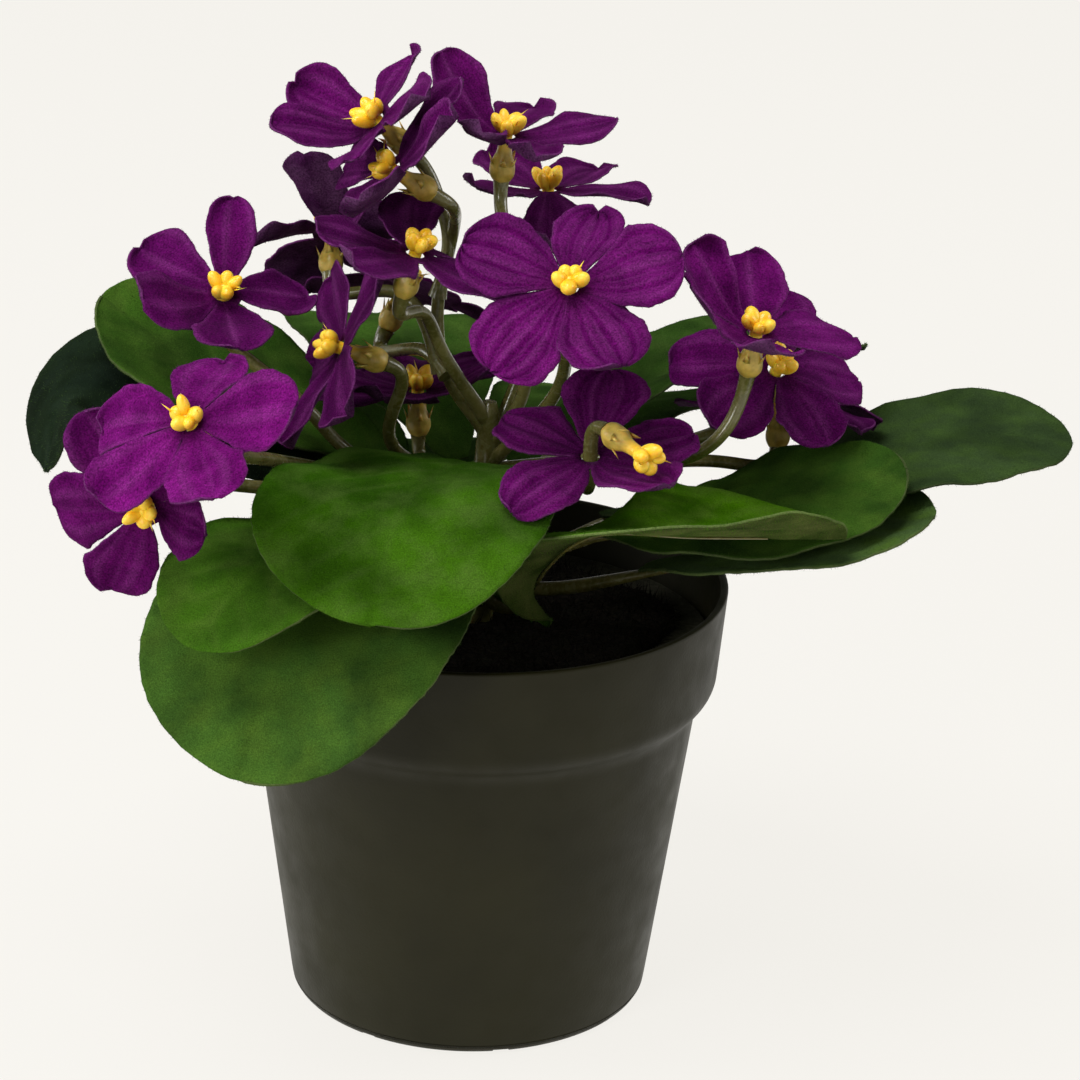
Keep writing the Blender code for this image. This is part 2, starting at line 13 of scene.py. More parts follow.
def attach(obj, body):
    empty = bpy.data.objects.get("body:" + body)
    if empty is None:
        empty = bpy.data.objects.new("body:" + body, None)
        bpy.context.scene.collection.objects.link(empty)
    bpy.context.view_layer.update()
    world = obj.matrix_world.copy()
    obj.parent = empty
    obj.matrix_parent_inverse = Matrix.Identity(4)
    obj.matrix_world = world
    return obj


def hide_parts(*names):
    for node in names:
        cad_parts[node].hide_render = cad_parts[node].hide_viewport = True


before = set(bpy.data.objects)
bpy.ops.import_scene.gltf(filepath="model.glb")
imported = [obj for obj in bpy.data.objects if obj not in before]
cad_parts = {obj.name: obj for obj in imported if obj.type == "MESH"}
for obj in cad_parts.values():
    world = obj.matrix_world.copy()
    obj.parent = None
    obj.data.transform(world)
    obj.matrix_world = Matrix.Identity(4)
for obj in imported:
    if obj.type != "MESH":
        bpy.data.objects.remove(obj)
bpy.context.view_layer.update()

# Camera: a long lens from the front, a little over twenty degrees above the table, so that the
# rim of the pot shows as a narrow ellipse.
CAMERA_PLACE = (0, -0.6255, 0.3258)
CAMERA_AXES = [(0.9996, -0.0072, 0.0273), (-0.0229, 0.358, 0.9334), (-0.0165, -0.9337, 0.3577)]


def placed(name, data):
    """A new object in the scene."""
    piece = bpy.data.objects.new(name, data)
    bpy.context.scene.collection.objects.link(piece)
    return piece


camera_data = bpy.data.cameras.new("camera")
camera_data.sensor_width = 36
camera_data.lens = 125.4
camera_data.clip_start = 0.01
camera = placed("camera", camera_data)
camera.matrix_world = Matrix.Translation(CAMERA_PLACE) @ Matrix(CAMERA_AXES).transposed().to_4x4()
bpy.context.scene.camera = camera

# Studio: a pale floor lit evenly from beneath, one wide soft light overhead to the left, one low on
# the front left, one on either side to draw the pot's edges, and a dim even surround.
FLOOR_HALF = 2.2
FLOOR_CORNERS = [(-1, -1), (1, -1), (1, 1), (-1, 1)]
PAPER = (0.85, 0.83, 0.785, 1)
PAPER_GREY = (0.06, 0.06, 0.06, 1)
SURROUND_WHITE = (1.0, 0.985, 0.955, 1)
# name, place in metres, size in metres, power in watts
SOFTBOXES = [("overhead", (-0.30, -0.30, 1.25), 0.7, 13.5),
             ("right side", (1.1, 0.15, 0.55), 0.6, 5.0),
             ("left side", (-1.1, 0.15, 0.50), 0.6, 6.0),
             ("front left", (-0.75, -1.1, 0.60), 0.5, 9.0)]
LIGHTS_AIM = Vector((0, 0, 0.1))


def start_material(name, **fixed):
    """A material, its node tree and its shader, with fixed numbers on the shader's own sockets."""
    material = bpy.data.materials.new(name)
    material.use_nodes = True
    tree = material.node_tree
    shader = tree.nodes["Principled BSDF"]
    for key, value in fixed.items():
        shader.inputs[key.replace("_", " ")].default_value = value
    return material, tree, shader


bpy.context.scene.view_settings.view_transform = "Standard"
floor_mesh = bpy.data.meshes.new("floor")
floor_mesh.from_pydata([(x * FLOOR_HALF, y * FLOOR_HALF, 0) for x, y in FLOOR_CORNERS], [], [(0, 1, 2, 3)])
paper, tree, shader = start_material("floor paper", Base_Color=PAPER_GREY, Emission_Color=PAPER,
                                     Emission_Strength=1.0, Roughness=0.95, Specular_IOR_Level=0.1)
floor_mesh.materials.append(paper)
placed("floor", floor_mesh)

surround = bpy.data.worlds.new("surround")
surround.use_nodes = True
background = surround.node_tree.nodes["Background"].inputs
background["Color"].default_value = SURROUND_WHITE
background["Strength"].default_value = 0.30
bpy.context.scene.world = surround

for name, place, size, power in SOFTBOXES:
    light = bpy.data.lights.new(name, "AREA")
    light.size = size
    light.energy = power
    lamp = placed(name, light)
    lamp.location = place
    lamp.rotation_euler = (Vector(place) - LIGHTS_AIM).to_track_quat("Z", "Y").to_euler()

# Pot: thin-walled moulding of dark olive-grey plastic, with a deep collar, a rounded foot and
# eight notches under its edge. It is one injection moulding, matt outside.
MM = 0.001
POT_SIDES = 144
POT_HEIGHT = 79.0
POT_RIM_R = 45.0
COLLAR_R, COLLAR_Z = 43.4, 60.5
NECK_R, NECK_Z = 40.2, 57.5
FOOT_R = 32.6
POT_WALL = 1.4
POT_FLOOR = 1.8
ROUNDING_POINTS = 7
NOTCHES, NOTCH_WIDTH, NOTCH_HEIGHT, NOTCH_DEPTH = 8, 3.0, 1.6, 4.2
POT_DARK = (0.0125, 0.0115, 0.0028)
POT_PALE = (0.0175, 0.0162, 0.0048)


def add(tree, kind, links=None, **settings):
    """A node with its settings, each input given a value or the socket or node that feeds it."""
    node = tree.nodes.new(kind)
    for key, value in settings.items():
        setattr(node, key, value)
    for socket, source in (links or {}).items():
        if isinstance(source, bpy.types.Node):
            source = source.outputs[0]
        if isinstance(source, bpy.types.NodeSocket):
            tree.links.new(source, node.inputs[socket])
        else:
            node.inputs[socket].default_value = source
    return node


def geo(tree, kind, links=None, **settings):
    """A geometry node, by the last part of its kind."""
    return add(tree, "GeometryNode" + kind, links, **settings)


def start_tree(name, sizes):
    """A geometry tree with a named input for each size and one for the material."""
    tree = bpy.data.node_groups.new(name, "GeometryNodeTree")
    tree.interface.new_socket("Geometry", in_out="INPUT", socket_type="NodeSocketGeometry")
    for label, value in sizes.items():
        kind = "NodeSocketInt" if isinstance(value, int) else "NodeSocketFloat"
        tree.interface.new_socket(label, in_out="INPUT", socket_type=kind).default_value = value
    tree.interface.new_socket("Material", in_out="INPUT", socket_type="NodeSocketMaterial")
    tree.interface.new_socket("Geometry", in_out="OUTPUT", socket_type="NodeSocketGeometry")
    return tree, tree.nodes.new("NodeGroupInput").outputs


def end_tree(tree, shape, material):
    """Closes a tree: instances made real, shaded smooth, material set."""
    real = geo(tree, "RealizeInstances", {"Geometry": shape})
    smooth = geo(tree, "SetShadeSmooth", {"Geometry": real})
    done = geo(tree, "SetMaterial", {"Geometry": smooth, "Material": material})
    add(tree, "NodeGroupOutput", {"Geometry": done})


def grow(name, seed_mesh, tree, **sizes):
    """A new object with the plain mesh that the tree makes of a seed mesh."""
    seed = placed(name + "_seed", seed_mesh)
    modifier = seed.modifiers.new(tree.name, "NODES")
    modifier.node_group = tree
    for item in tree.interface.items_tree:
        key = item.name.lower().replace(" ", "_")
        if item.in_out == "INPUT" and key in sizes:
            modifier[item.identifier] = sizes[key]
    graph = bpy.context.evaluated_depsgraph_get()
    mesh = bpy.data.meshes.new_from_object(seed.evaluated_get(graph), depsgraph=graph)
    seed.modifiers.remove(modifier)
    bpy.data.objects.remove(seed, do_unlink=True)
    mesh.name = name
    return placed(name, mesh)


def plain_mesh(name, points, edges=(), faces=()):
    """Mesh from points in millimetres."""
    mesh = bpy.data.meshes.new(name)
    mesh.from_pydata((np.asarray(points, float) * MM).tolist(), edges, faces)
    return mesh


def noise(tree, grain_mm, detail=2.0):
    """Noise with grains of that size, on Object coordinates."""
    place = add(tree, "ShaderNodeTexCoord").outputs["Object"]
    sockets = {"Vector": place, "Scale": 1000 / grain_mm, "Detail": detail}
    return add(tree, "ShaderNodeTexNoise", sockets).outputs[0]


def span(tree, value, low, high, to_low=0.0, to_high=1.0):
    """The value mapped from low..high to another range, held at its ends."""
    return add(tree, "ShaderNodeMapRange", {0: value, 1: low, 2: high, 3: to_low, 4: to_high}).outputs[0]


def tint(tree, share, low, high):
    """Colour from low to high by share; each colour is a triple or a socket."""
    node = add(tree, "ShaderNodeMix", {0: share}, data_type="RGBA")
    for socket, colour in ((node.inputs[6], low), (node.inputs[7], high)):
        if isinstance(colour, bpy.types.NodeSocket):
            tree.links.new(colour, socket)
        else:
            socket.default_value = (*colour, 1)
    return node.outputs[2]


def sums(tree, kind, a, b):
    """One step of arithmetic on two numbers, sockets or nodes."""
    return add(tree, "ShaderNodeMath", {0: a, 1: b}, operation=kind).outputs[0]


def times(tree, low, high):
    """One colour multiplied by another."""
    node = add(tree, "ShaderNodeMix", {0: 1.0, 6: low, 7: high}, data_type="RGBA", blend_type="MULTIPLY")
    return node.outputs[2]


def paint(tree, shader, value, socket="Base Color"):
    """The colour or number fed to a socket of the shader."""
    tree.links.new(value, shader.inputs[socket])


def relief(tree, shader, height, depth_mm):
    """Bump of that depth on the shader."""
    bump = add(tree, "ShaderNodeBump", {"Height": height, "Distance": depth_mm * MM, "Strength": 1.0})
    paint(tree, shader, bump.outputs[0], "Normal")


def settle(piece, slot, *nodes):
    """The piece rides on the one body and stands for the nodes, which it hides; the slot is not used."""
    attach(piece, "root")
    if nodes:
        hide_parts(*nodes)


def rounded(corners):
    """Outline through corners (r, z, rounding), each rounded corner as a short curve."""
    out = []
    for i, (r, z, size) in enumerate(corners):
        here = np.array((r, z))
        if size == 0:
            out.append(here)
            continue
        back = np.array(corners[i - 1][:2]) - here
        on = np.array(corners[i + 1][:2]) - here
        a = here + back / np.linalg.norm(back) * size
        b = here + on / np.linalg.norm(on) * size
        for t in np.linspace(0, 1, ROUNDING_POINTS):
            out.append((1 - t) ** 2 * a + 2 * t * (1 - t) * here + t * t * b)
    return out


pot_plastic, tree, shader = start_material("pot plastic", Specular_IOR_Level=0.18)
cloud = noise(tree, 22.0, 3.0)
speck = noise(tree, 0.5, 3.0)
paint(tree, shader, tint(tree, span(tree, cloud, 0.35, 0.68), POT_DARK, POT_PALE))
paint(tree, shader, span(tree, noise(tree, 6.0, 3.0), 0.3, 0.7, 0.42, 0.56), "Roughness")
relief(tree, shader, speck, 0.035)

tree, size = start_tree("pot moulding", {
    "Sides": POT_SIDES, "Notches": NOTCHES, "Notch width": NOTCH_WIDTH * MM,
    "Notch height": NOTCH_HEIGHT * MM, "Foot radius": FOOT_R * MM})
ring = geo(tree, "CurvePrimitiveCircle", {"Resolution": size["Sides"], "Radius": MM})
outline = geo(tree, "MeshToCurve", {"Mesh": size["Geometry"]})
shell = geo(tree, "CurveToMesh", {"Curve": ring, "Profile Curve": outline})
shell = geo(tree, "MergeByDistance", {"Geometry": shell, "Distance": 1e-5})
spots = geo(tree, "CurvePrimitiveCircle", {"Resolution": size["Notches"], "Radius": size["Foot radius"]})
block_size = add(tree, "ShaderNodeCombineXYZ", {
    "X": NOTCH_DEPTH * MM, "Y": size["Notch width"], "Z": size["Notch height"]})
block = geo(tree, "MeshCube", {"Size": block_size})
facing = geo(tree, "InputTangent")
turned = add(tree, "FunctionNodeAlignRotationToVector", {"Vector": facing}, axis="Y")
cutters = geo(tree, "InstanceOnPoints", {"Points": spots, "Instance": block, "Rotation": turned})
swing = geo(tree, "Transform", {"Geometry": cutters, "Rotation": (0, 0, pi / (2 * NOTCHES))})
cutters = geo(tree, "RealizeInstances", {"Geometry": swing})
notched = geo(tree, "MeshBoolean", {"Mesh 1": shell, "Mesh 2": cutters}, solver="EXACT")
end_tree(tree, notched, size["Material"])

# corners of the section from the middle of the foot up outside and down inside: radius, height, rounding
pot_outline = rounded([
    (0, 0, 0),
    (FOOT_R - 0.3, 0, 2.0),
    (FOOT_R + 0.15, 2.6, 1.2),
    (NECK_R, NECK_Z, 2.1),
    (COLLAR_R, COLLAR_Z, 2.2),
    (POT_RIM_R, POT_HEIGHT, 0.6),
    (POT_RIM_R - POT_WALL, POT_HEIGHT - 0.1, 0.5),
    (COLLAR_R - POT_WALL, COLLAR_Z + 0.9, 0.6),
    (NECK_R - POT_WALL, NECK_Z, 0.6),
    (FOOT_R - POT_WALL, POT_FLOOR + 0.1, 2.0),
    (0, POT_FLOOR, 0)])
flat_outline = [(r - 1, -z, 0) for r, z in pot_outline]
pot_seed = plain_mesh("pot_outline", flat_outline, [(i, i + 1) for i in range(len(flat_outline) - 1)])
pot = grow("pot_moulding", pot_seed, tree, material=pot_plastic)
settle(pot, "pot", "pot")

# Filler: a grey block cast in the pot, which grips the foot of the stem. It stays as it is in the
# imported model, since only a sliver of its top shows between the mat and the wall.
filler_grey, tree, shader = start_material("filler", Roughness=0.95, Specular_IOR_Level=0.2)
grit = noise(tree, 1.2, 4.0)
stain = noise(tree, 9.0, 2.0)
pale = tint(tree, span(tree, grit, 0.35, 0.7), (0.045, 0.045, 0.028), (0.090, 0.088, 0.058))
paint(tree, shader, tint(tree, span(tree, stain, 0.4, 0.7, 0.0, 0.7), pale, (0.03, 0.027, 0.02)))
relief(tree, shader, grit, 0.5)
filler_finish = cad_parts["filler"].data.materials
filler_finish.clear()
filler_finish.append(filler_grey)

# Ground cover: a thin mat of dark dyed fibre laid on the filler round the stem, its edge torn,
# loose fibres standing up all over it.
MAT_TOP, MAT_UNDER = 71.4, 68.85
MAT_R = 33.5
MAT_HOLE = 3.1
MAT_ROWS, MAT_SIDES = 26, 120
MAT_SWELLS, SWELL_RISE, MAT_SAG = 14, 1.1, 0.35
EDGE_STARTS, EDGE_DROP = 0.93, 1.6
MAT_SEED = 11
FULL_TURN = 6.28
# height and count of the lobes of the torn edge, from broad to fine
BROAD_LOBES, SMALL_LOBES, TATTERS = (0.07, 3), (0.035, 7), (0.012, 31)

mat_brown, tree, shader = start_material("ground cover", Roughness=1.0, Specular_IOR_Level=0.1)
strand = noise(tree, 0.7, 5.0)
clump = noise(tree, 6.0, 3.0)
fibre = tint(tree, span(tree, strand, 0.4, 0.72), (0.006, 0.005, 0.004), (0.030, 0.024, 0.016))
paint(tree, shader, tint(tree, span(tree, clump, 0.5, 0.7, 0.0, 0.5), fibre, (0.016, 0.018, 0.008)))
relief(tree, shader, strand, 0.5)

rng = np.random.default_rng(MAT_SEED)
points, faces = [], []
wave = [(rng.uniform(0.3, 1.0), rng.uniform(0.1, 0.9, 2), rng.uniform(0, FULL_TURN))
        for _ in range(MAT_SWELLS)]
for row in range(MAT_ROWS):
    out = row / (MAT_ROWS - 1)
    for k in range(MAT_SIDES):
        a = 2 * pi * k / MAT_SIDES
        ragged = 1 + BROAD_LOBES[0] * sin(BROAD_LOBES[1] * a + 0.6) + SMALL_LOBES[0] * sin(SMALL_LOBES[1] * a)
        ragged += TATTERS[0] * sin(TATTERS[1] * a) * out
        r = MAT_HOLE + (MAT_R * ragged - MAT_HOLE) * out
        x, y = r * cos(a), r * sin(a)
        swell = sum(high * sin(f[0] * x + f[1] * y + start) for high, f, start in wave) / MAT_SWELLS
        drop = EDGE_DROP * max(0, (out - EDGE_STARTS) / (1 - EDGE_STARTS))
        points.append((x, y, MAT_TOP - MAT_SAG + SWELL_RISE * swell - drop))
under = len(points)
for row in (0, MAT_ROWS - 1):
    points += [(p[0], p[1], MAT_UNDER) for p in points[row * MAT_SIDES:(row + 1) * MAT_SIDES]]
for k in range(MAT_SIDES):
    m = (k + 1) % MAT_SIDES
    for row in range(MAT_ROWS - 1):
        a, b = row * MAT_SIDES, (row + 1) * MAT_SIDES
        faces.append((a + k, b + k, b + m, a + m))
    edge = (MAT_ROWS - 1) * MAT_SIDES
    faces.append((edge + k, under + MAT_SIDES + k, under + MAT_SIDES + m, edge + m))
    faces.append((under + MAT_SIDES + k, under + k, under + m, under + MAT_SIDES + m))
    faces.append((under + k, k, m, under + m))
mat_seed = plain_mesh("mat", points, [], faces)

tree, size = start_tree("fibres", {
    "Per square metre": 9e5, "At the rim": 0.0, "Length": 0.0032, "Thickness": 0.00012, "Lean": 1.6,
    "Longest": 1.2, "Seed": 5})
rim = geo(tree, "InputNamedAttribute", {"Name": "rim"})
crowd = add(tree, "ShaderNodeMath", {0: rim, 1: size["At the rim"], 2: 1.0}, operation="MULTIPLY_ADD")
density = sums(tree, "MULTIPLY", crowd, size["Per square metre"])
spots = geo(tree, "DistributePointsOnFaces", {
    "Mesh": size["Geometry"], "Density": density, "Seed": size["Seed"]})
hair = geo(tree, "MeshCone", {
    "Vertices": 3, "Radius Top": 0.0, "Radius Bottom": size["Thickness"], "Depth": size["Length"]})
away = add(tree, "FunctionNodeRandomValue", {
    0: (-1, -1, -1), 1: (1, 1, 1), "Seed": size["Seed"]}, data_type="FLOAT_VECTOR")
lean = add(tree, "ShaderNodeVectorMath", {0: away, "Scale": size["Lean"]}, operation="SCALE")
heading = add(tree, "ShaderNodeVectorMath", {0: spots.outputs["Normal"], 1: lean}, operation="ADD")
stand = add(tree, "FunctionNodeAlignRotationToVector", {"Vector": heading}, axis="Z")
long_short = add(tree, "FunctionNodeRandomValue", {2: 0.4, 3: size["Longest"], "Seed": size["Seed"]})
stretch = add(tree, "ShaderNodeCombineXYZ", {"X": 1.0, "Y": 1.0, "Z": long_short.outputs[1]})
hairs = geo(tree, "InstanceOnPoints", {
    "Points": spots, "Instance": hair, "Rotation": stand, "Scale": stretch})
end_tree(tree, hairs, size["Material"])
fibre_tree = tree

mat = placed("ground_cover", mat_seed)
mat_seed.shade_smooth()
mat_seed.materials.append(mat_brown)
settle(mat, "cover", "cover")
mat_fibres = grow("ground_cover_fibres", mat_seed.copy(), fibre_tree, material=mat_brown)
settle(mat_fibres, "cover")

# Stem: one glossy olive moulding of soft plastic. Its foot is pushed into the filler; petioles run on
# under the leaves as midribs, and flower stalks end in a peg inside each heart.
STEM_PATH = [(0.5, 0.0, 58.0), (0.5, 0.0, 78.0), (1.0, 0.0, 96.0), (1.5, 0.0, 112.0)]
STEM_AT, STEM_R = (0, 0.35, 0.7, 0.97, 1), (2.6, 2.6, 2.4, 1.8, 1.2)
STALK_R, STALK_STRAIGHT, SHOULDER = 1.15, 12.5, -8.2
# how much thicker a stalk is where it leaves the stem and under its heart
STALK_FOOT_SWELL, STALK_HEAD_SWELL = 0.5, 0.28
PETIOLE_R, PETIOLE_SAG = 1.3, 1.5
MIDRIB_R, MIDRIB_TIP_R, MIDRIB_END = 0.8, 0.4, 0.84
PETIOLE_ROOT_R, PETIOLE_BEND_R, PETIOLE_END_R = 2.1, 1.5, 0.95
# points along the trunk, along each midrib, along each petiole, and between two bends of a stalk
TRUNK_POINTS, RIB_POINTS, PETIOLE_POINTS, STALK_POINTS = 40, 26, 16, 14
# points between two of the given points of a smooth curve
CURVE_STEPS = 24
# rounds of easing that take the kinks out of a stalk
EASING = 40
# the midrib of this leaf is pressed nearly flush with its blade
RIB_SHARE = {"leaf_06": 0.45}
LEAF_THICK = 0.45

# leaf: midrib through its points, width, upward normals near the base, the middle and the tip,
# fold of the two halves (base, tip), curl of the two halves, start of the petiole on the stem
LEAVES = {
    "leaf_01": ([(0, -11, 86), (-14.5, -26, 93), (-30.5, -47, 86), (-38.5, -61, 66)], 54,
        [(0.1, -0.3, 1), (-0.05, -0.5, 0.9), (-0.09, -0.85, 0.5)], (6, 6), (-26, 0), 10, -6, 74),
    "leaf_02": ([(1.5, -8, 102.3), (-5, -26, 109), (-13, -47, 108), (-17, -66, 96)], 50,
        [(-0.05, -0.2, 1), (-0.12, -0.1, 1), (0, -0.6, 0.8)], (4, 4), (4, 4), -6, -6, 90),
    "leaf_03": ([(-11, -15, 95), (-24, -32.5, 99), (-37.5, -48, 97), (-46.5, -58, 88.5)], 38,
        [(0, 0.1, 1), (-0.2, 0, 1), (-0.3, -0.25, 0.9)], (-4, -6), (6, 6), 0, 0, 86),
    "leaf_04": ([(-12, 0, 99), (-30, 2, 106), (-50, 5, 115), (-67, 9, 127)], 42,
        [(0, 0, 1), (0, -0.1, 1), (0, -0.2, 1)], (8, 8), (8, 8), 5, 5, 88),
    "leaf_05": ([(-14, -5, 94), (-40, -4, 105.6), (-70, -5, 114), (-75, -11, 101)], 44,
        [(0, 0, 1), (0, -0.12, 1), (-1, -0.2, 0.3)], (4, 2), (4, 2), 0, 0, 79),
    "leaf_06": ([(8, -5, 74.5), (11.5, -22, 90), (20, -33, 100.5), (37, -36, 101.5), (62, -33, 100.6)],
        42, [(-0.2, -0.9, 0.1), (0, -0.1, 1), (0, 0, 1)], (4, 0), (0, 38), 0, 4, 76),
    "leaf_07": ([(22, 3, 90), (51, 7, 94), (82, 8, 103.8), (105.5, 8, 105)], 44,
        [(0, 0, 1), (0, 0, 1), (0, -0.25, 1)], (-12, 0), (6, 6), 0, 0, 81),
    "leaf_08": ([(29, -8, 84.5), (43, -12, 89.5), (62, -14, 94), (79, -12, 99)], 42,
        [(0, -0.1, 1), (0, -0.1, 1), (0, -0.1, 1)], (-22, 4), (6, 12), 0, 6, 77),
    "leaf_09": ([(12, 10, 100), (30, 22, 109), (50, 28, 113), (70, 31, 113.5)], 42,
        [(0, 0, 1), (0, 0, 1), (0, 0, 1)], (4, 0), (20, 20), 0, 0, 87),
    "leaf_10": ([(-4, 17, 95), (-12, 34, 107), (-19, 50, 111.5), (-24, 65, 104)], 40,
        [(0, 0, 1), (0, 0.2, 1), (0, 0.4, 1)], (2, 2), (2, 2), -4, -4, 86),
    "leaf_11": ([(-12, 9, 93), (-28, 24, 99), (-42, 37, 99), (-55, 48, 91)], 40,
        [(0, 0, 1), (0, 0.2, 1), (0, 0.4, 1)], (5, 5), (5, 5), 0, 0, 81),
    "leaf_12": ([(8, 13, 90), (18, 32, 97.5), (26, 50, 97), (33, 65, 89)], 44,
        [(0, 0, 1), (0, 0.2, 1), (0, 0.4, 1)], (4, 4), (4, 4), 0, 0, 76),
    "leaf_13": ([(-5, 14, 83), (-13, 36, 87), (-18, 57, 84), (-22, 72, 73)], 46,
        [(0, 0, 1), (0, 0.3, 1), (0, 0.6, 1)], (4, 4), (4, 4), 0, 0, 76),
    "leaf_14": ([(20, -9, 91.5), (39, -13, 96.4), (58, -13, 101.2), (74, -12, 105.7)], 38,
        [(0, 0, 1), (0, 0, 1), (0, -0.1, 1)], (0, 4), (-8, -6), 0, 0, 84),
}

# bloom: centre, azimuth and elevation of its axis, clock angle of the first petal,
# turn of each petal off the even fifth, lift of each petal toward the front
BLOOMS = {
    "bloom_01": ((14, -36.5, 144.7), 0, 50, 9, (6, -5, 1, -3, -4), (-11, 23, 18, -14, 10)),
    "bloom_02": ((3.2, -3, 160.8), 25, 80, 26, (14, 6, 20, -22, 18), (4, 20, 25, 39, 49)),
    "bloom_03": ((-18.8, -1.3, 162.5), -71, 44, -27, (-21, 20, -1, 19, -7), (-5, 22, 33, 62, 43)),
    "bloom_04": ((-44, -16.2, 135.6), 9, 54, 18, (-9, -13, 15, 10, 8), (18, -25, 43, 45, -11)),
    "bloom_05": ((-46.6, -56, 126.4), -22, 43, -4, (1, 8, 3, 10, -19), (-20, 21, 29, -7, -12)),
    "bloom_06": ((-55, -42, 106.5), -12, -2, 42, (-11, -14, 18, -2, -1), (56, 49, 1, -8, 12)),
    "bloom_07": ((45.6, -27.3, 134.4), 21, 73, 34, (-18, -18, 18, 18, 9), (20, -3, 37, 56, 51)),
    "bloom_08": ((18.3, -38, 115.7), 2, 71, 8, (5, -13, -13, 0, 17), (24, 1, 28, 12, 1)),
    "bloom_09": ((-27.3, 18.8, 136.2), -178, 42, 0, (15, -18, 9, -1, 0), (24, -26, 11, 22, 7)),
    "bloom_10": ((-15.4, -13.3, 157), -70, 33, -14, (18, -13, -18, 23, -22), (5, 20, 41, -4, 13)),
    "bloom_11": ((-24, -16.3, 126.5), -80, 21, -50, (-18, 1, 14, -5, 3), (18, 6, 8, 25, 6)),
    "bloom_12": ((-11.6, -20.3, 144.7), 54, 72, 32, (19, -18, -6, 19, -20), (8, -24, 8, 20, 19)),
    "bloom_13": ((-11.3, 10, 110.2), -36, 87, 82, (-19, 7, 2, 1, 2), (43, 27, 19, 3, 16)),
    "bloom_14": ((50.9, -8.5, 121.8), 21, 55, 20, (0, -4, 2, 3, -10), (8, -21, 10, 9, -15)),
    "bloom_15": ((53.7, 15, 108), 175, 69, -36, (-17, 2, 1, 0, -1), (-8, 11, 2, 4, 4)),
    "bloom_16": ((11, 18.5, 145.4), 187, 89, -3, (8, -19, 11, 3, 16), (-7, 19, 14, 11, 15)),
    "bloom_17": ((-14.3, 20.5, 126.3), 130, 62, -1, (-13, 2, 3, 0, 13), (31, -20, 3, 8, 15)),
}

# one heart sits clear of its corolla, which has slipped down the stalk
SLIPPED_HEART = {"bloom_08": ((25.8, -48.3, 120.3), 38, -10)}
# straight run of its stalk behind and beyond the hole of the corolla
BEHIND_HOLE, BEYOND_HOLE = 7, 3.5

# flower stalks: points from the stem up to the heart
STALKS = {
    "bloom_01": [(1.2, 0, 100), (13, -10, 117)],
    "bloom_02": [(1.4, 0, 104), (8, -2, 116), (4, -8, 142)],
    "bloom_03": [(1.3, 0, 106), (-6.4, 0, 117), (-8, 0, 130), (-6, 0, 141), (-8, 1, 148)],
    "bloom_04": [(0.8, 0, 95), (-21, -10, 104), (-31, -12, 115.5)],
    "bloom_05": [(0.8, 0, 93), (-27, -16, 104.5), (-37, -32, 112)],
    "bloom_06": [(0.8, 0, 91), (-28, -24, 103)],
    "bloom_07": [(1.0, 0, 98), (28, -20, 107.5), (40, -26, 114)],
    "bloom_08": [(1.0, 0, 97), (16, -15, 104)],
    "bloom_09": [(-7.2, -2, 118), (-13, 1, 131)],
    "bloom_10": [(-8, 0, 131), (-5.5, 0, 143)],
    "bloom_11": [(0.9, 0, 96), (-16, -8, 106)],
    "bloom_12": [(1.4, 0, 108), (-7, -6, 123), (-10, -8, 131)],
    "bloom_13": [(0.9, 0, 98), (-8, 6, 98)],
    "bloom_14": [(1.1, 0, 99), (34, -8, 107.5)],
    "bloom_15": [(1.0, 0, 94), (22, 5, 98), (42, 10, 98.5)],
    "bloom_16": [(1.4, 0, 102), (9, 8, 122)],
    "bloom_17": [(-6, -4, 118), (-10, 1, 121)],
}


def unit(v):
    """The vector or vectors at length one."""
    v = np.asarray(v, float)
    return v / np.linalg.norm(v, axis=-1, keepdims=True)


def smooth_path(points, at):
    """Points at the given fractions of the length of a smooth curve through the given points."""
    p = np.array(points, float)
    longer = np.vstack([2 * p[0] - p[1], p, 2 * p[-1] - p[-2]])
    fine = []
    for i in range(len(p) - 1):
        a, b, c, d = longer[i:i + 4]
        for t in np.linspace(0, 1, CURVE_STEPS, endpoint=False):
            q = 2 * b + (c - a) * t + (2 * a - 5 * b + 4 * c - d) * t ** 2
            fine.append(0.5 * (q + (3 * b - a - 3 * c + d) * t ** 3))
    fine.append(p[-1])
    fine = np.array(fine)
    run = np.r_[0, np.cumsum(np.linalg.norm(np.diff(fine, axis=0), axis=1))]
    want = np.array(at) * run[-1]
    return np.stack([np.interp(want, run, fine[:, k]) for k in range(3)], axis=1)


def blade_frames(spec, stations):
    """Midrib point, side vector and upward normal at each station of a leaf blade."""
    path, _, normals = spec[:3]
    keys = unit(normals)
    mid = smooth_path(path, stations)
    ahead = smooth_path(path, np.minimum(1, stations + 0.01))
    behind = smooth_path(path, np.maximum(0, stations - 0.01))
    t = unit(ahead - behind)
    n = np.stack([np.interp(stations, (0, 0.4, 1), keys[:, k]) for k in range(3)], axis=1)
    n = unit(n - np.sum(n * t, axis=1, keepdims=True) * t)
    return mid, np.cross(t, n), n


def bloom_frame(az, el):
    """Axis, up and right vectors of a bloom that faces azimuth az and elevation el."""
    a, e = radians(az), radians(el)
    axis = np.array([sin(a) * cos(e), -cos(a) * cos(e), sin(e)])
    up = np.array([-sin(a) * sin(e), cos(a) * sin(e), cos(e)])
    return axis, up, np.cross(up, axis)


def stamp(mesh, name, values, domain="POINT"):
    """A number for each point or face of a mesh."""
    mesh.attributes.new(name, "FLOAT", domain).data.foreach_set("value", values)


def add_bar(bars, path, radii):
    """One bar of the moulding, as a chain of points with a radius each."""
    points, edges, sizes = bars
    start = len(points)
    points.extend(path)
    sizes.extend(radii)
    edges.extend((start + i, start + i + 1) for i in range(len(path) - 1))


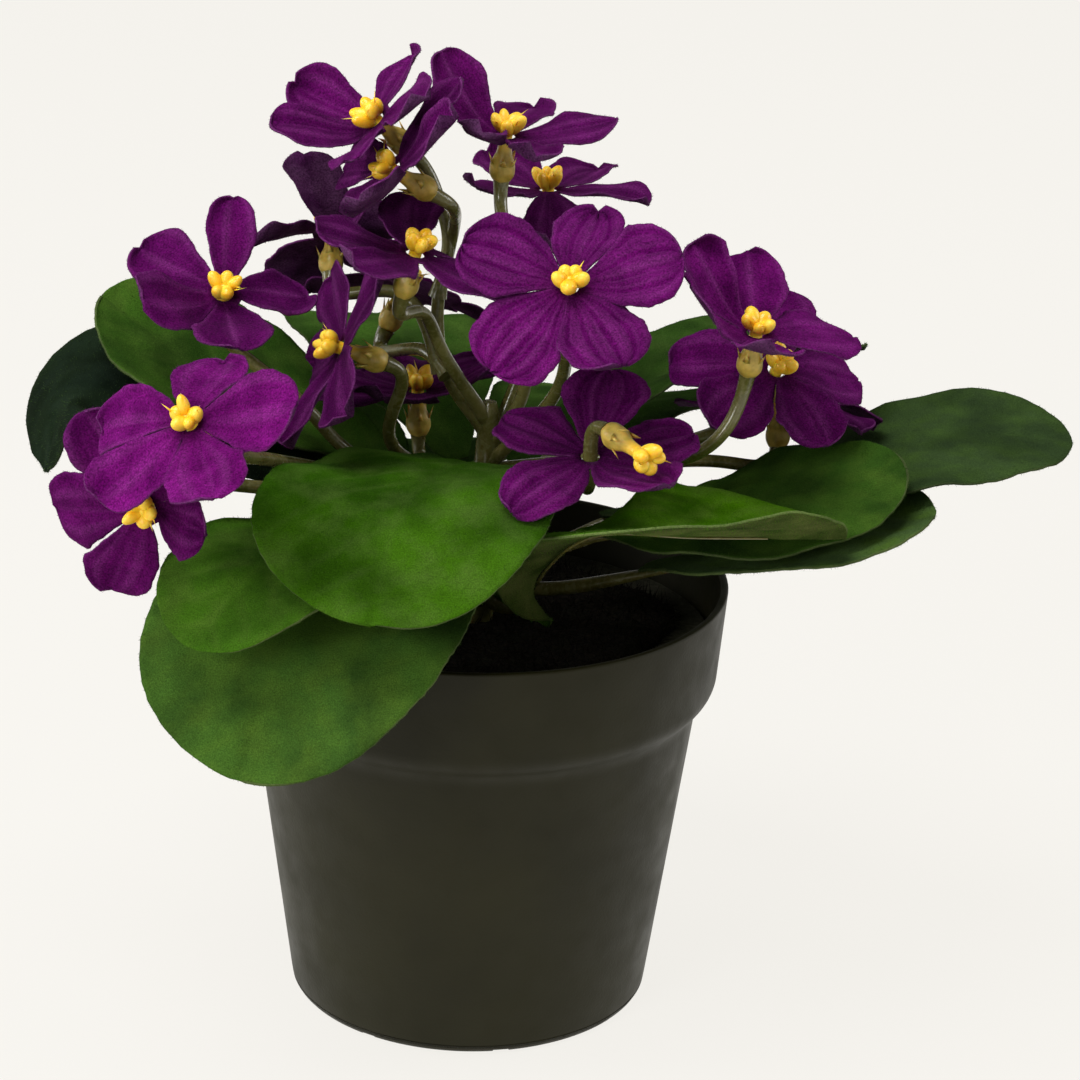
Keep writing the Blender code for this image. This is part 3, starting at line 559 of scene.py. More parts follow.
stem_plastic, tree, shader = start_material(
    "stem plastic", Coat_Weight=0.35, Coat_Roughness=0.08, Subsurface_Weight=0.08, Subsurface_Scale=0.001)
mottle = noise(tree, 7.0, 3.0)
fine = noise(tree, 0.6, 2.0)
olive = tint(tree, span(tree, mottle, 0.35, 0.7), (0.075, 0.070, 0.014), (0.165, 0.150, 0.042))
paint(tree, shader, tint(tree, span(tree, fine, 0.45, 0.75, 0.0, 0.35), olive, (0.26, 0.24, 0.11)))
paint(tree, shader, span(tree, mottle, 0.3, 0.7, 0.16, 0.34), "Roughness")
relief(tree, shader, sums(tree, "ADD", noise(tree, 2.5, 2.0), sums(tree, "MULTIPLY", fine, 0.3)), 0.12)

tree, size = start_tree("moulded bars", {"Sides": 14, "Seam": 0.12})
bar = geo(tree, "MeshToCurve", {"Mesh": size["Geometry"]})
ring = geo(tree, "CurvePrimitiveCircle", {"Resolution": size["Sides"], "Radius": 1.0})
number = geo(tree, "InputIndex")
half = add(tree, "FunctionNodeIntegerMath", {0: size["Sides"], 1: 2}, operation="DIVIDE")
turn = add(tree, "FunctionNodeIntegerMath", {0: number, 1: half}, operation="MODULO")
on_seam = add(tree, "FunctionNodeCompare", {2: turn, 3: 0}, data_type="INT", operation="EQUAL")
place = geo(tree, "InputPosition")
out = add(tree, "ShaderNodeVectorMath", {0: place, "Scale": size["Seam"]}, operation="SCALE")
profile = geo(tree, "SetPosition", {"Geometry": ring, "Selection": on_seam, "Offset": out})
thick = geo(tree, "InputNamedAttribute", {"Name": "thick"})
tube = geo(tree, "CurveToMesh", {"Curve": bar, "Profile Curve": profile, "Scale": thick, "Fill Caps": True})
end_tree(tree, tube, size["Material"])

bars = ([], [], [])
at = np.linspace(0, 1, TRUNK_POINTS)
add_bar(bars, smooth_path(STEM_PATH, at), np.interp(at, STEM_AT, STEM_R))
for name, spec in LEAVES.items():
    at = np.linspace(0, MIDRIB_END, RIB_POINTS)
    mid, _, n = blade_frames(spec, at)
    rib = np.interp(at, (0, MIDRIB_END), (MIDRIB_R, MIDRIB_TIP_R)) * RIB_SHARE.get(name, 1.0)
    under = mid - n * (LEAF_THICK / 2 + rib[:, None] * 0.75 + 0.5 * (1 - at[:, None]))
    root = np.array([STEM_PATH[0][0], 0.0, spec[7]])
    sag = 0.5 * (root + under[0]) - (0, 0, PETIOLE_SAG)
    lead = smooth_path([root, sag, under[0]], np.linspace(0, 0.94, PETIOLE_POINTS))
    swell = np.interp(np.linspace(0, 1, PETIOLE_POINTS), (0, 0.12, 0.3, 0.7, 1),
                      (PETIOLE_ROOT_R, PETIOLE_BEND_R, PETIOLE_R, PETIOLE_R, PETIOLE_END_R))
    add_bar(bars, np.vstack([lead, under]), [*swell, *rib])
for name, spec in BLOOMS.items():
    centre, az, el = SLIPPED_HEART.get(name, spec[:3])
    centre, axis = np.array(centre, float), bloom_frame(az, el)[0]
    way = list(STALKS[name])
    if name in SLIPPED_HEART:
        own = bloom_frame(spec[1], spec[2])[0]
        hole = np.array(spec[0])
        way += [hole - BEHIND_HOLE * own, hole, hole + BEYOND_HOLE * own]
    way += [centre - STALK_STRAIGHT * axis, centre + SHOULDER * axis]
    count = STALK_POINTS * len(way)
    at = np.linspace(0, 1, count)
    line = smooth_path(way, at)
    for _ in range(EASING):
        line[1:-1] = 0.25 * line[:-2] + 0.5 * line[1:-1] + 0.25 * line[2:]
    thicker = STALK_FOOT_SWELL * np.exp(-at * count / 4) + STALK_HEAD_SWELL * np.exp(-(1 - at) * count / 2.5)
    radii = STALK_R * (1 + thicker)
    add_bar(bars, line, radii)
stem_seed = plain_mesh("stem_lines", bars[0], bars[1])
stamp(stem_seed, "thick", np.array(bars[2], float) * MM)
stems = grow("stem_moulding", stem_seed, tree, material=stem_plastic)
settle(stems, "stem", "stems")

# Leaves: die-cut blades of green flocked cloth, stiff with size, pressed so that they pucker softly
# between the veins. Each is glued along the midrib of its petiole. The cut edge is pale.
LEAF_WIDEST = 0.60
LEAF_ROWS_BELOW, LEAF_ROWS_ABOVE, LEAF_COLUMNS = 35, 31, 40
LEAF_SEED = 100
# width left at the foot of a blade, and how late it widens
LEAF_SHAPE = (0.11, 1.25)
OWN_SHAPE = {"leaf_01": (0.3, 1.25), "leaf_02": (0.46, 1.0), "leaf_06": (0.27, 3.0)}
VEIN_STEP, VEIN_SLOPE, VEIN_WIDTH, SPINE_WIDTH = 7.5, 0.75, 0.9, 0.8
PUCKER, VEIN_PRESS, SPINE_PRESS, EDGE_WAVE = 0.30, 0.16, 0.22, 0.45
# depth and rate of the small nicks along the cut edge
NICKS = ((0.10, 2.1), (0.07, 5.3))


def half_width(s, shape):
    """Spatula outline: share of the full half width at fraction s of the length."""
    base, late = shape
    if s < LEAF_WIDEST:
        return base + (1 - base) * sin(0.5 * pi * s / LEAF_WIDEST) ** late
    return sqrt(max(0.0, 1 - ((s - LEAF_WIDEST) / (1 - LEAF_WIDEST)) ** 2))


def across(u, w, fold, curl):
    """Distance out from the midrib and up at fraction u of a half blade that is w wide."""
    start, turn = radians(fold), radians(curl)
    if abs(turn) < 1e-6:
        return w * u * cos(start), w * u * sin(start)
    out = w / turn * (sin(start + turn * u) - sin(start))
    return out, w / turn * (cos(start) - cos(start + turn * u))


def tongue(base, rows, columns):
    """Faces between the rows of points from a base on, and from the last row to the tip point after it."""
    row = columns + 1
    last = base + rows * row
    faces = [(a + k, a + k + 1, a + row + k + 1, a + row + k)
             for a in range(base, last - row, row) for k in range(columns)]
    return faces + [(last - row + k, last - row + k + 1, last) for k in range(columns)]


def stiff_cloth(name, points, faces, thick, shades, material):
    """Closed sheet about a surface, with the point shades and the marks 'upper' and 'cut' on its faces."""
    p = np.array(points, float)
    normal = np.zeros_like(p)
    for f in faces:
        n = np.cross(p[f[1]] - p[f[0]], p[f[-1]] - p[f[0]])
        for i in f:
            normal[i] += n
    normal = unit(normal + 1e-12)
    count = len(p)
    verts = np.vstack([p + normal * thick / 2, p - normal * thick / 2])
    sides = [tuple(i + count for i in reversed(f)) for f in faces]
    edges = {(a, b) for f in faces for a, b in zip(f, f[1:] + f[:1])}
    rims = [(b, a, a + count, b + count) for a, b in sorted(edges) if (b, a) not in edges]
    mesh = plain_mesh(name, verts, [], list(faces) + sides + rims)
    marks = {"upper": [1.0] * len(faces) + [0.0] * (len(sides) + len(rims)),
             "cut": [0.0] * (2 * len(faces)) + [1.0] * len(rims)}
    for key, values in marks.items():
        stamp(mesh, key, values, "FACE")
    for key, values in shades.items():
        stamp(mesh, key, np.tile(values, 2))
    mesh.shade_smooth()
    mesh.materials.append(material)
    return placed(name, mesh)


def mark(tree, name):
    """The value of a mesh attribute."""
    return add(tree, "ShaderNodeAttribute", attribute_name=name).outputs["Fac"]


leaf_cloth, tree, shader = start_material(
    "leaf cloth", Roughness=0.95, Sheen_Weight=0.015, Sheen_Roughness=0.5, Sheen_Tint=(0.55, 0.80, 0.30, 1),
    Specular_IOR_Level=0.01)
pile = noise(tree, 0.24, 4.0)
worn = noise(tree, 6.5, 5.0)
drift = noise(tree, 24.0, 2.0)
# painted light: by its share of painted light each leaf's green runs from near-black painted shade to a
# bright lit green, and a second share greys it toward a cool painted shade
lit_green = tint(tree, span(tree, drift, 0.35, 0.65), (0.038, 0.130, 0.0006), (0.062, 0.185, 0.0012))
deep = tint(tree, span(tree, drift, 0.35, 0.65), (0.003, 0.007, 0.003), (0.007, 0.014, 0.006))
green = tint(tree, mark(tree, "painted_light"), deep, lit_green)
painted_cool_shade = tint(tree, mark(tree, "painted_light"), (0.005, 0.009, 0.006), (0.095, 0.168, 0.052))
green = tint(tree, mark(tree, "painted_cool_shade"), green, painted_cool_shade)
pale = tint(tree, mark(tree, "painted_light"), (0.010, 0.018, 0.012), (0.110, 0.215, 0.022))
green = tint(tree, span(tree, worn, 0.44, 0.68, 0.0, 0.65), green, pale)
green = tint(tree, sums(tree, "MULTIPLY", mark(tree, "vein"), 0.55), green, pale)
shade = tint(tree, span(tree, noise(tree, 12.0, 3.0), 0.35, 0.60), (0.62, 0.62, 0.66), (1.08, 1.08, 1.0))
# the underside and the cut edge follow the same painted light: dark teal and dark edges for a leaf painted in
# shade, olive and pale for a lit one
shaded_teal = tint(tree, span(tree, worn, 0.35, 0.65), (0.007, 0.015, 0.010), (0.016, 0.028, 0.020))
khaki = tint(tree, span(tree, worn, 0.35, 0.65), (0.032, 0.055, 0.010), (0.085, 0.105, 0.028))
below = tint(tree, mark(tree, "painted_light"), shaded_teal, khaki)
green = tint(tree, mark(tree, "upper"), below, green)
edge = tint(tree, mark(tree, "painted_light"), (0.022, 0.034, 0.016), (0.105, 0.150, 0.045))
green = tint(tree, mark(tree, "cut"), green, edge)
dark = tint(tree, span(tree, pile, 0.3, 0.7), (0.66, 0.66, 0.66), (1.28, 1.28, 1.28))
paint(tree, shader, times(tree, green, times(tree, dark, shade)))
relief(tree, shader, pile, 0.14)

leaf_pile, tree, shader = start_material("leaf pile", Roughness=0.95, Specular_IOR_Level=0.02)
# painted light: the pile hairs take the same painted light and cool painted shade as their leaf
green = tint(tree, mark(tree, "painted_light"), (0.005, 0.012, 0.005), (0.080, 0.200, 0.008))
green = tint(tree, mark(tree, "painted_cool_shade"), green, (0.040, 0.072, 0.026))
paint(tree, shader, tint(tree, span(tree, noise(tree, 3.0), 0.35, 0.75), green, (0.065, 0.120, 0.030)))

# painted light on each leaf's green: how lit it is painted, from 0 in shade to 1 in full light, and how far
# it is greyed to a cool painted shade
LEAF_PAINTED_LIGHT = {"leaf_01": (0.60, 0.42), "leaf_02": (0.48, 0.0), "leaf_03": (0.62, 0.15), "leaf_04": (0.50, 0.25),
          "leaf_05": (0.0, 0.5), "leaf_06": (1.0, 0.0), "leaf_07": (0.27, 0.95), "leaf_08": (0.60, 0.95),
          "leaf_09": (0.30, 0.3), "leaf_14": (0.55, 0.30)}
BACK_LEAF_PAINTED_LIGHT = (0.38, 0.3)


def leaf_blade(name, spec, number):
    """Points, faces and shades of the middle surface of one blade."""
    width, fold_l, fold_r, curl_l, curl_r = spec[1], *spec[3:7]
    s = np.r_[np.linspace(0, LEAF_WIDEST, LEAF_ROWS_BELOW + 1)[:-1],
              LEAF_WIDEST + (1 - LEAF_WIDEST) * np.sin(np.linspace(0, pi / 2, LEAF_ROWS_ABOVE))]
    mid, side, normal = blade_frames(spec, s)
    length = np.linalg.norm(np.diff(mid, axis=0), axis=1).sum()
    shape = OWN_SHAPE.get(name, LEAF_SHAPE)
    phase = np.random.default_rng(LEAF_SEED + number).uniform(0, FULL_TURN, 8)
    points, vein, rim = [], [], []
    for j in range(len(s)):
        w = 0.5 * width * half_width(s[j], shape)
        for u in np.linspace(-1, 1, LEAF_COLUMNS + 1):
            fold, curl = (fold_l, curl_l) if u < 0 else (fold_r, curl_r)
            out, up = across(abs(u), w, fold[0] * (1 - s[j]) + fold[1] * s[j], curl)
            x, y = u * w, s[j] * length
            nick = sum(deep * sin(rate * y + start) for (deep, rate), start in zip(NICKS, phase))
            out = max(0.0, out + nick * abs(u) ** 8)
            run = (y - VEIN_SLOPE * abs(x) - 0.012 * x * x) / VEIN_STEP + 0.15 * sin(phase[2] + u)
            near = abs((run + 0.5) % 1 - 0.5) * VEIN_STEP
            rib = np.exp(-(near / VEIN_WIDTH) ** 2) * min(1, abs(x) / 3) * (1 - abs(u) ** 3)
            spine = np.exp(-(x / SPINE_WIDTH) ** 2)
            pucker = sin(0.30 * x + 0.11 * y + phase[3]) * sin(0.23 * y - 0.09 * x + phase[4])
            pucker += 0.6 * sin(0.52 * x - 0.21 * y + phase[5]) * sin(0.47 * y + phase[6])
            edge_wave = EDGE_WAVE * abs(u) ** 4 * sin(0.33 * y + phase[7] + (1.3 if u < 0 else 0))
            rise = PUCKER * pucker * (1 - 0.4 * spine) - VEIN_PRESS * rib - SPINE_PRESS * spine + edge_wave
            rise *= min(1, 0.25 + abs(x) / 2) if s[j] < 0.85 else 1
            points.append(mid[j] + side[j] * out * np.sign(u) + normal[j] * (up + rise))
            vein.append(0.7 * rib + 0.5 * spine * (s[j] < 0.9))
            rim.append(max(0.0, 1 - (1 - abs(u)) * w / 1.5))
    last = (len(s) - 1) * (LEAF_COLUMNS + 1)
    points[last:] = [np.mean(points[last:], axis=0)]
    vein[last:] = [0.0]
    rim[last:] = [1.0]
    return points, tongue(0, len(s) - 1, LEAF_COLUMNS), {"vein": vein, "rim": rim}


# pile: short fine hairs of the flocking, denser at the cut rim
PILE = {"at_the_rim": 4.0, "thickness": 0.00004, "lean": 0.7, "longest": 1.3}

for number, (name, spec) in enumerate(LEAVES.items()):
    points, faces, shades = leaf_blade(name, spec, number)
    # each leaf carries its share of painted light and of cool painted shade on every point
    for key, value in zip(("painted_light", "painted_cool_shade"), LEAF_PAINTED_LIGHT.get(name, BACK_LEAF_PAINTED_LIGHT)):
        shades[key] = [value] * len(points)
    blade = stiff_cloth(name + "_blade", points, faces, LEAF_THICK, shades, leaf_cloth)
    settle(blade, "leaf", name)
    fuzz = grow(name + "_pile", blade.data.copy(), fibre_tree, per_square_metre=8.5e5, length=0.0004,
                seed=number, material=leaf_pile, **PILE)
    settle(fuzz, "leaf")

# Corollas: five petals die-cut in one from thin purple velvet round a hole, crimped in a heated
# die, and pushed up the stalk against the heart. They are stiff with size and fray a little.
PETAL_THICK = 0.34
HOLE_R, HUB_R = 1.65, 2.6
PETAL_LENGTH, PETAL_WIDEST, PETAL_HALF = 19.2, 12.8, 7.9
PETAL_DROOP, LIFT_RISE, SECTOR_SHARE = -14.0, 2.2, 0.97
PETAL_ROWS_BELOW, PETAL_ROWS_ABOVE, PETAL_COLUMNS = 16, 13, 16
HUB_HALF = 2.2
PETAL_SEED, PETAL_PILE_SEED = 300, 40
# height of a petal's lengthwise twist, its middle furrow and its ruffled edge
TWIST, FURROW, RUFFLE = 0.5, 0.35, 0.7
# share and rate of the uneven steps along a petal's cut edge
FRAYS = ((0.022, 1.3), (0.012, 3.1))
# fine veins across half a petal, and how strongly they are pressed in
VEINS_ACROSS = 9
VEINED = {"bloom_01": 1.0, "bloom_08": 0.6, "bloom_13": 0.6}
USUAL_VEINED = 0.2
# share of the full width of each petal where they are rolled narrow
SHARES = {"bloom_01": (0.7, 1.0, 0.95, 1.0, 0.95), "bloom_02": (0.6, 0.8, 0.75, 0.7, 0.75),
          "bloom_03": (0.6, 0.7, 0.75, 0.7, 0.65), "bloom_04": (0.5, 0.6, 0.85, 0.85, 0.8),
          "bloom_05": (0.75, 0.9, 0.85, 0.8, 0.8), "bloom_06": (0.85, 0.7, 0.77, 0.9, 0.85),
          "bloom_07": (0.8, 0.9, 0.7, 0.85, 0.8), "bloom_08": (0.95, 0.8, 0.8, 0.75, 0.8),
          "bloom_09": (0.7, 0.75, 0.75, 0.7, 0.7), "bloom_10": (0.7, 0.75, 0.7, 0.75, 0.7),
          "bloom_11": (0.8, 0.75, 0.8, 0.75, 0.8), "bloom_12": (0.8, 0.75, 0.7, 0.8, 0.75),
          "bloom_14": (0.8, 0.85, 0.8, 0.85, 0.8), "bloom_16": (0.75, 0.75, 0.7, 0.75, 0.75)}
USUAL_SHARES = (0.95, 0.92, 0.97, 0.9, 0.95)
# share of the full length of each petal where one has crumpled back
REACH = {"bloom_04": (1, 0.85, 0.95, 0.95, 0.95), "bloom_05": (0.80, 1, 1, 1, 0.95),
         "bloom_06": (1, 0.62, 1, 1, 1), "bloom_14": (1, 1, 0.85, 0.9, 1)}
FULL_REACH = (1, 1, 1, 1, 1)
# painted light on each bloom where it is painted more lit or more shaded than the rest
BLOOM_LIGHTS = {"bloom_01": 0.80, "bloom_02": 0.60, "bloom_03": 0.60, "bloom_04": 0.55, "bloom_05": 1.15,
        "bloom_06": 0.70, "bloom_07": 1.00, "bloom_08": 0.60, "bloom_14": 0.55, "bloom_15": 0.45}
USUAL_BLOOM_LIGHT = 0.4
# pleat depth and number of pleats where a bloom is crimped harder than the rest
PLEATS = {"bloom_01": (0.6, 4.5), "bloom_08": (0.45, 3.5), "bloom_13": (0.45, 3.5)}
USUAL_PLEATS = (0.2, 2.0)

petal_velvet, tree, shader = start_material(
    "petal velvet", Roughness=0.95, Sheen_Weight=0.04, Sheen_Roughness=0.35, Sheen_Tint=(0.95, 0.35, 0.90, 1),
    Specular_IOR_Level=0.03)
pile = noise(tree, 0.32, 4.0)
drift = noise(tree, 5.0, 3.0)
purple = tint(tree, span(tree, drift, 0.35, 0.68), (0.070, 0.0010, 0.064), (0.135, 0.0045, 0.122))
# painted shade: where a point's lit share is low the purple goes near black, as petals in shade
purple = tint(tree, mark(tree, "lit"), (0.016, 0.0004, 0.016), purple)
purple = tint(tree, sums(tree, "MULTIPLY", mark(tree, "crease"), 0.5), purple, (0.22, 0.035, 0.20))
fan = sums(tree, "MULTIPLY", mark(tree, "spread"), VEINS_ACROSS * pi)
fan = sums(tree, "ADD", fan, sums(tree, "MULTIPLY", drift, 6.0))
vein = span(tree, sums(tree, "SINE", fan, 0.0), -0.2, 1.0)
vein = sums(tree, "MULTIPLY", vein, mark(tree, "veined"))
purple = tint(tree, sums(tree, "MULTIPLY", vein, 0.13), purple, (0.24, 0.045, 0.22))
purple = tint(tree, sums(tree, "MULTIPLY", mark(tree, "rim"), 0.15), purple, (0.18, 0.03, 0.17))
below = tint(tree, span(tree, drift, 0.35, 0.65), (0.035, 0.006, 0.035), (0.080, 0.026, 0.078))
purple = tint(tree, mark(tree, "upper"), below, purple)
purple = tint(tree, mark(tree, "cut"), purple, (0.10, 0.018, 0.095))
fleck = tint(tree, span(tree, pile, 0.3, 0.7), (0.50, 0.50, 0.50), (1.48, 1.58, 1.48))
paint(tree, shader, times(tree, purple, fleck))
relief(tree, shader, sums(tree, "SUBTRACT", pile, sums(tree, "MULTIPLY", vein, 0.5)), 0.10)

petal_pile, tree, shader = start_material("petal pile", Roughness=0.95, Specular_IOR_Level=0.02)
patch = span(tree, noise(tree, 2.0), 0.35, 0.65)
paint(tree, shader, tint(tree, patch, (0.050, 0.001, 0.048), (0.15, 0.012, 0.14)))


def petal_half(p):
    """Half the width of a petal at distance p along it."""
    if p < PETAL_WIDEST:
        rise = sin(0.5 * pi * (p - HUB_R) / (PETAL_WIDEST - HUB_R)) ** 0.85
        return HUB_HALF + (PETAL_HALF - HUB_HALF) * rise
    q = (p - PETAL_WIDEST) / (PETAL_LENGTH - PETAL_WIDEST)
    return PETAL_HALF * max(0.0, 1 - q ** 2.4) ** (1 / 2.4)


def corolla(name, spec, number):
    """Points, faces and shades of the middle surface of one bloom's petals."""
    centre, az, el, spin, turns, lifts = spec
    centre = np.array(centre, float)
    axis, up, right = bloom_frame(az, el)
    angles = [spin + 72 * i + turns[i] for i in range(5)]
    rng = np.random.default_rng(PETAL_SEED + number)
    rounding = np.sin(np.linspace(0, pi / 2, PETAL_ROWS_ABOVE))
    along_at = np.r_[np.linspace(HUB_R, PETAL_WIDEST, PETAL_ROWS_BELOW + 1)[:-1],
                     PETAL_WIDEST + (PETAL_LENGTH - PETAL_WIDEST) * rounding]
    row = PETAL_COLUMNS + 1
    pleat, folds = PLEATS.get(name, USUAL_PLEATS)
    short = REACH.get(name, FULL_REACH)
    narrow = SHARES.get(name, USUAL_SHARES)
    depth = VEINED.get(name, USUAL_VEINED)
    points, faces, starts = [], [], []
    shades = {"crease": [], "rim": [], "lit": [], "spread": [], "veined": []}

    def add_point(place, *values):
        points.append(place)
        for shade, value in zip(shades.values(), values):
            shade.append(value)

    for i in range(5):
        gap = ((angles[i] - angles[i - 1]) % 360 / 2, (angles[(i + 1) % 5] - angles[i]) % 360 / 2)
        a = radians(angles[i])
        along = cos(a) * up + sin(a) * right
        side = cos(a) * right - sin(a) * up
        fine = np.linspace(HUB_R, PETAL_LENGTH, 120)
        share = fine / PETAL_LENGTH
        lift = np.radians(lifts[i] * np.minimum(1, LIFT_RISE * share) + PETAL_DROOP * share)
        step = np.diff(fine, prepend=fine[0])
        reach = np.interp(along_at, fine, HUB_R + np.cumsum(step * np.cos(lift)))
        rise = np.interp(along_at, fine, np.cumsum(step * np.sin(lift)))
        slope = np.interp(along_at, fine, lift)
        reach = HUB_R + (reach - HUB_R) * short[i]
        rise = rise * short[i]
        cup = rng.uniform(-0.7, 1.5) + 3.0 * (1 - narrow[i])
        phase = rng.uniform(0, FULL_TURN, 4)
        lean = rng.uniform(-0.3, 0.3)
        curl = rng.uniform(-1.8, 1.4)
        # painted light of this petal: its bloom's share with a random spread
        petal_light = BLOOM_LIGHTS.get(name, USUAL_BLOOM_LIGHT) * rng.uniform(0.75, 1.1)
        starts.append(len(points))
        # painted shade at the heart: the row round the hole and the inner part of each petal are painted
        # darker than the tip
        for k in np.linspace(-1, 1, row):
            w = min(1.6, SECTOR_SHARE * HUB_R * tan(radians(gap[int(k > 0)]))) * k
            b = np.arctan2(w, HUB_R)
            add_point(centre + HOLE_R * (cos(b) * along + sin(b) * side), 0.0, 0.0, 0.6 * petal_light, k, 0.0)
        for j, p in enumerate(along_at):
            q = p / PETAL_LENGTH
            for k in np.linspace(-1, 1, row):
                w = min(petal_half(p), (SECTOR_SHARE + 0.25 * q) * reach[j] * tan(radians(gap[int(k > 0)])))
                w *= narrow[i] + (1 - narrow[i]) * (1 - q) ** 2
                w *= 1 + abs(k) ** 6 * sum(high * sin(rate * p + start)
                                           for (high, rate), start in zip(FRAYS, phase[::-1]))
                wave = sin(pi * folds * k + phase[0])
                ruffle = RUFFLE * abs(k) ** 3 * sin(1.1 * p * 0.55 + phase[1] + k)
                middle = -FURROW * np.exp(-(k / 0.16) ** 2) * min(1, (1 - q) * 4)
                bend = pleat * wave * q * (1 - 0.3 * abs(k)) + cup * k * k * q + ruffle * q + middle * q
                bend += TWIST * k * q + curl * q ** 5
                tilt = axis * cos(slope[j]) - along * sin(slope[j])
                swerve = side * (k + lean * q * (1 - k * k) * 0.3) * w
                place = centre + along * reach[j] + swerve + axis * rise[j] + tilt * bend
                crease = (max(0.0, wave) ** 3 * 0.8 + 0.4 * np.exp(-(k / 0.07) ** 2)) * q * (1 - q ** 6)
                rim = max(0.0, 1 - (1 - abs(k)) * w, 1 - (PETAL_LENGTH - p) / 0.8)
                veined = depth * min(1.0, 2 * q) * (1 - q ** 8) * (1 - abs(k) ** 6)
                add_point(place, crease, rim, petal_light * min(1.0, 0.5 + 0.8 * q), k, veined)
        last = len(points) - row
        tip = np.mean(points[last:], axis=0)
        for values in (points, *shades.values()):
            del values[last:]
        add_point(tip, 0.0, 1.0, petal_light, 0.0, 0.0)
        faces += tongue(starts[-1], len(along_at), PETAL_COLUMNS)
    for i in range(5):
        here, there = starts[i] + PETAL_COLUMNS, starts[(i + 1) % 5]
        faces.append((here, there, there + row, here + row))
    return points, faces, shades


for number, (name, spec) in enumerate(BLOOMS.items()):
    points, faces, shades = corolla(name, spec, number)
    petals = stiff_cloth(name + "_velvet", points, faces, PETAL_THICK, shades, petal_velvet)
    settle(petals, "petal", name + "_petals")
    fuzz = grow(name + "_pile", petals.data.copy(), fibre_tree, per_square_metre=1.05e6, length=0.00033,
                seed=PETAL_PILE_SEED + number, material=petal_pile, **PILE)
    settle(fuzz, "petal")

# Hearts: yellow plastic mouldings, one to a bloom: an olive calyx bulb with short sepals, a neck
# through the hole of the corolla, and five plump anthers with a little moulding flash.
CALYX = [(0.0, -8.3), (1.2, -8.3), (1.75, -7.7), (2.15, -6.7), (2.15, -5.4), (1.75, -4.1), (1.35, -3.0),
         (1.15, -1.6), (1.1, 0.4), (1.2, 1.2), (0.9, 2.2), (0.0, 2.6)]
CALYX_POINTS, CALYX_SIDES = 34, 24
HEART_SEED = 500
# distance along the axis and out from it: foot and tip of a sepal, foot and tip of a thread of flash
SEPALS, SEPAL_FOOT, SEPAL_TIP, SEPAL_TIP_OUT = 5, (-5.0, 1.9), (2.4, 3.0), 2.8
FLASH_THREADS, FLASH_FOOT, FLASH_TIP, FLASH_TIP_OUT = 3, (3.0, 2.2), (3.6, 5.2), (2.8, 4.2)
ANTHERS, ANTHER_OUT, ANTHER_Z, ANTHER_TILT = 5, 1.55, 2.2, 38.0

heart_plastic, tree, shader = start_material("heart plastic", Subsurface_Weight=0.25, Subsurface_Scale=0.0015)
ripe = mark(tree, "ripe")
patch = noise(tree, 1.8, 3.0)
anther = tint(tree, span(tree, patch, 0.35, 0.65), (0.88, 0.47, 0.012), (0.95, 0.64, 0.05))
calyx = tint(tree, span(tree, patch, 0.35, 0.65), (0.36, 0.25, 0.035), (0.60, 0.42, 0.08))
paint(tree, shader, tint(tree, ripe, calyx, anther))
paint(tree, shader, span(tree, patch, 0.3, 0.7, 0.28, 0.5), "Roughness")
relief(tree, shader, noise(tree, 0.8, 2.0), 0.06)

tree, size = start_tree("anthers", {"Length": 0.0041, "Width": 0.0025, "Seed": 1})
spots = geo(tree, "MeshToPoints", {"Mesh": size["Geometry"]})
lobe = geo(tree, "MeshUVSphere", {"Segments": 14, "Rings": 10, "Radius": 0.5})
shape = add(tree, "ShaderNodeCombineXYZ", {"X": size["Width"], "Y": size["Width"], "Z": size["Length"]})
lobe = geo(tree, "Transform", {"Geometry": lobe, "Scale": shape})
facing = geo(tree, "InputNamedAttribute", {"Name": "facing"}, data_type="FLOAT_VECTOR")
stand = add(tree, "FunctionNodeAlignRotationToVector", {"Vector": facing}, axis="Z")
plump = add(tree, "FunctionNodeRandomValue", {
    0: (0.8, 0.8, 0.75), 1: (1.15, 1.15, 1.25), "Seed": size["Seed"]}, data_type="FLOAT_VECTOR")
lobes = geo(tree, "InstanceOnPoints", {
    "Points": spots, "Instance": lobe, "Rotation": stand, "Scale": plump})
real = geo(tree, "RealizeInstances", {"Geometry": lobes})
ripened = geo(tree, "StoreNamedAttribute", {"Geometry": real, "Name": "ripe", "Value": 1.0})
end_tree(tree, ripened, size["Material"])
anther_tree = tree


def spike(body, foot, tip, wide, thick, shade):
    """A pointed four-sided scrap from foot to tip added to the lists of points, faces and shades."""
    points, faces, shades = body
    base = len(points)
    points += [foot + wide, foot + thick, foot - wide, foot - thick, tip]
    shades += [shade] * 5
    faces += [(base + (i + 1) % 4, base + i, base + 4) for i in range(4)]
    faces.append((base, base + 1, base + 2, base + 3))


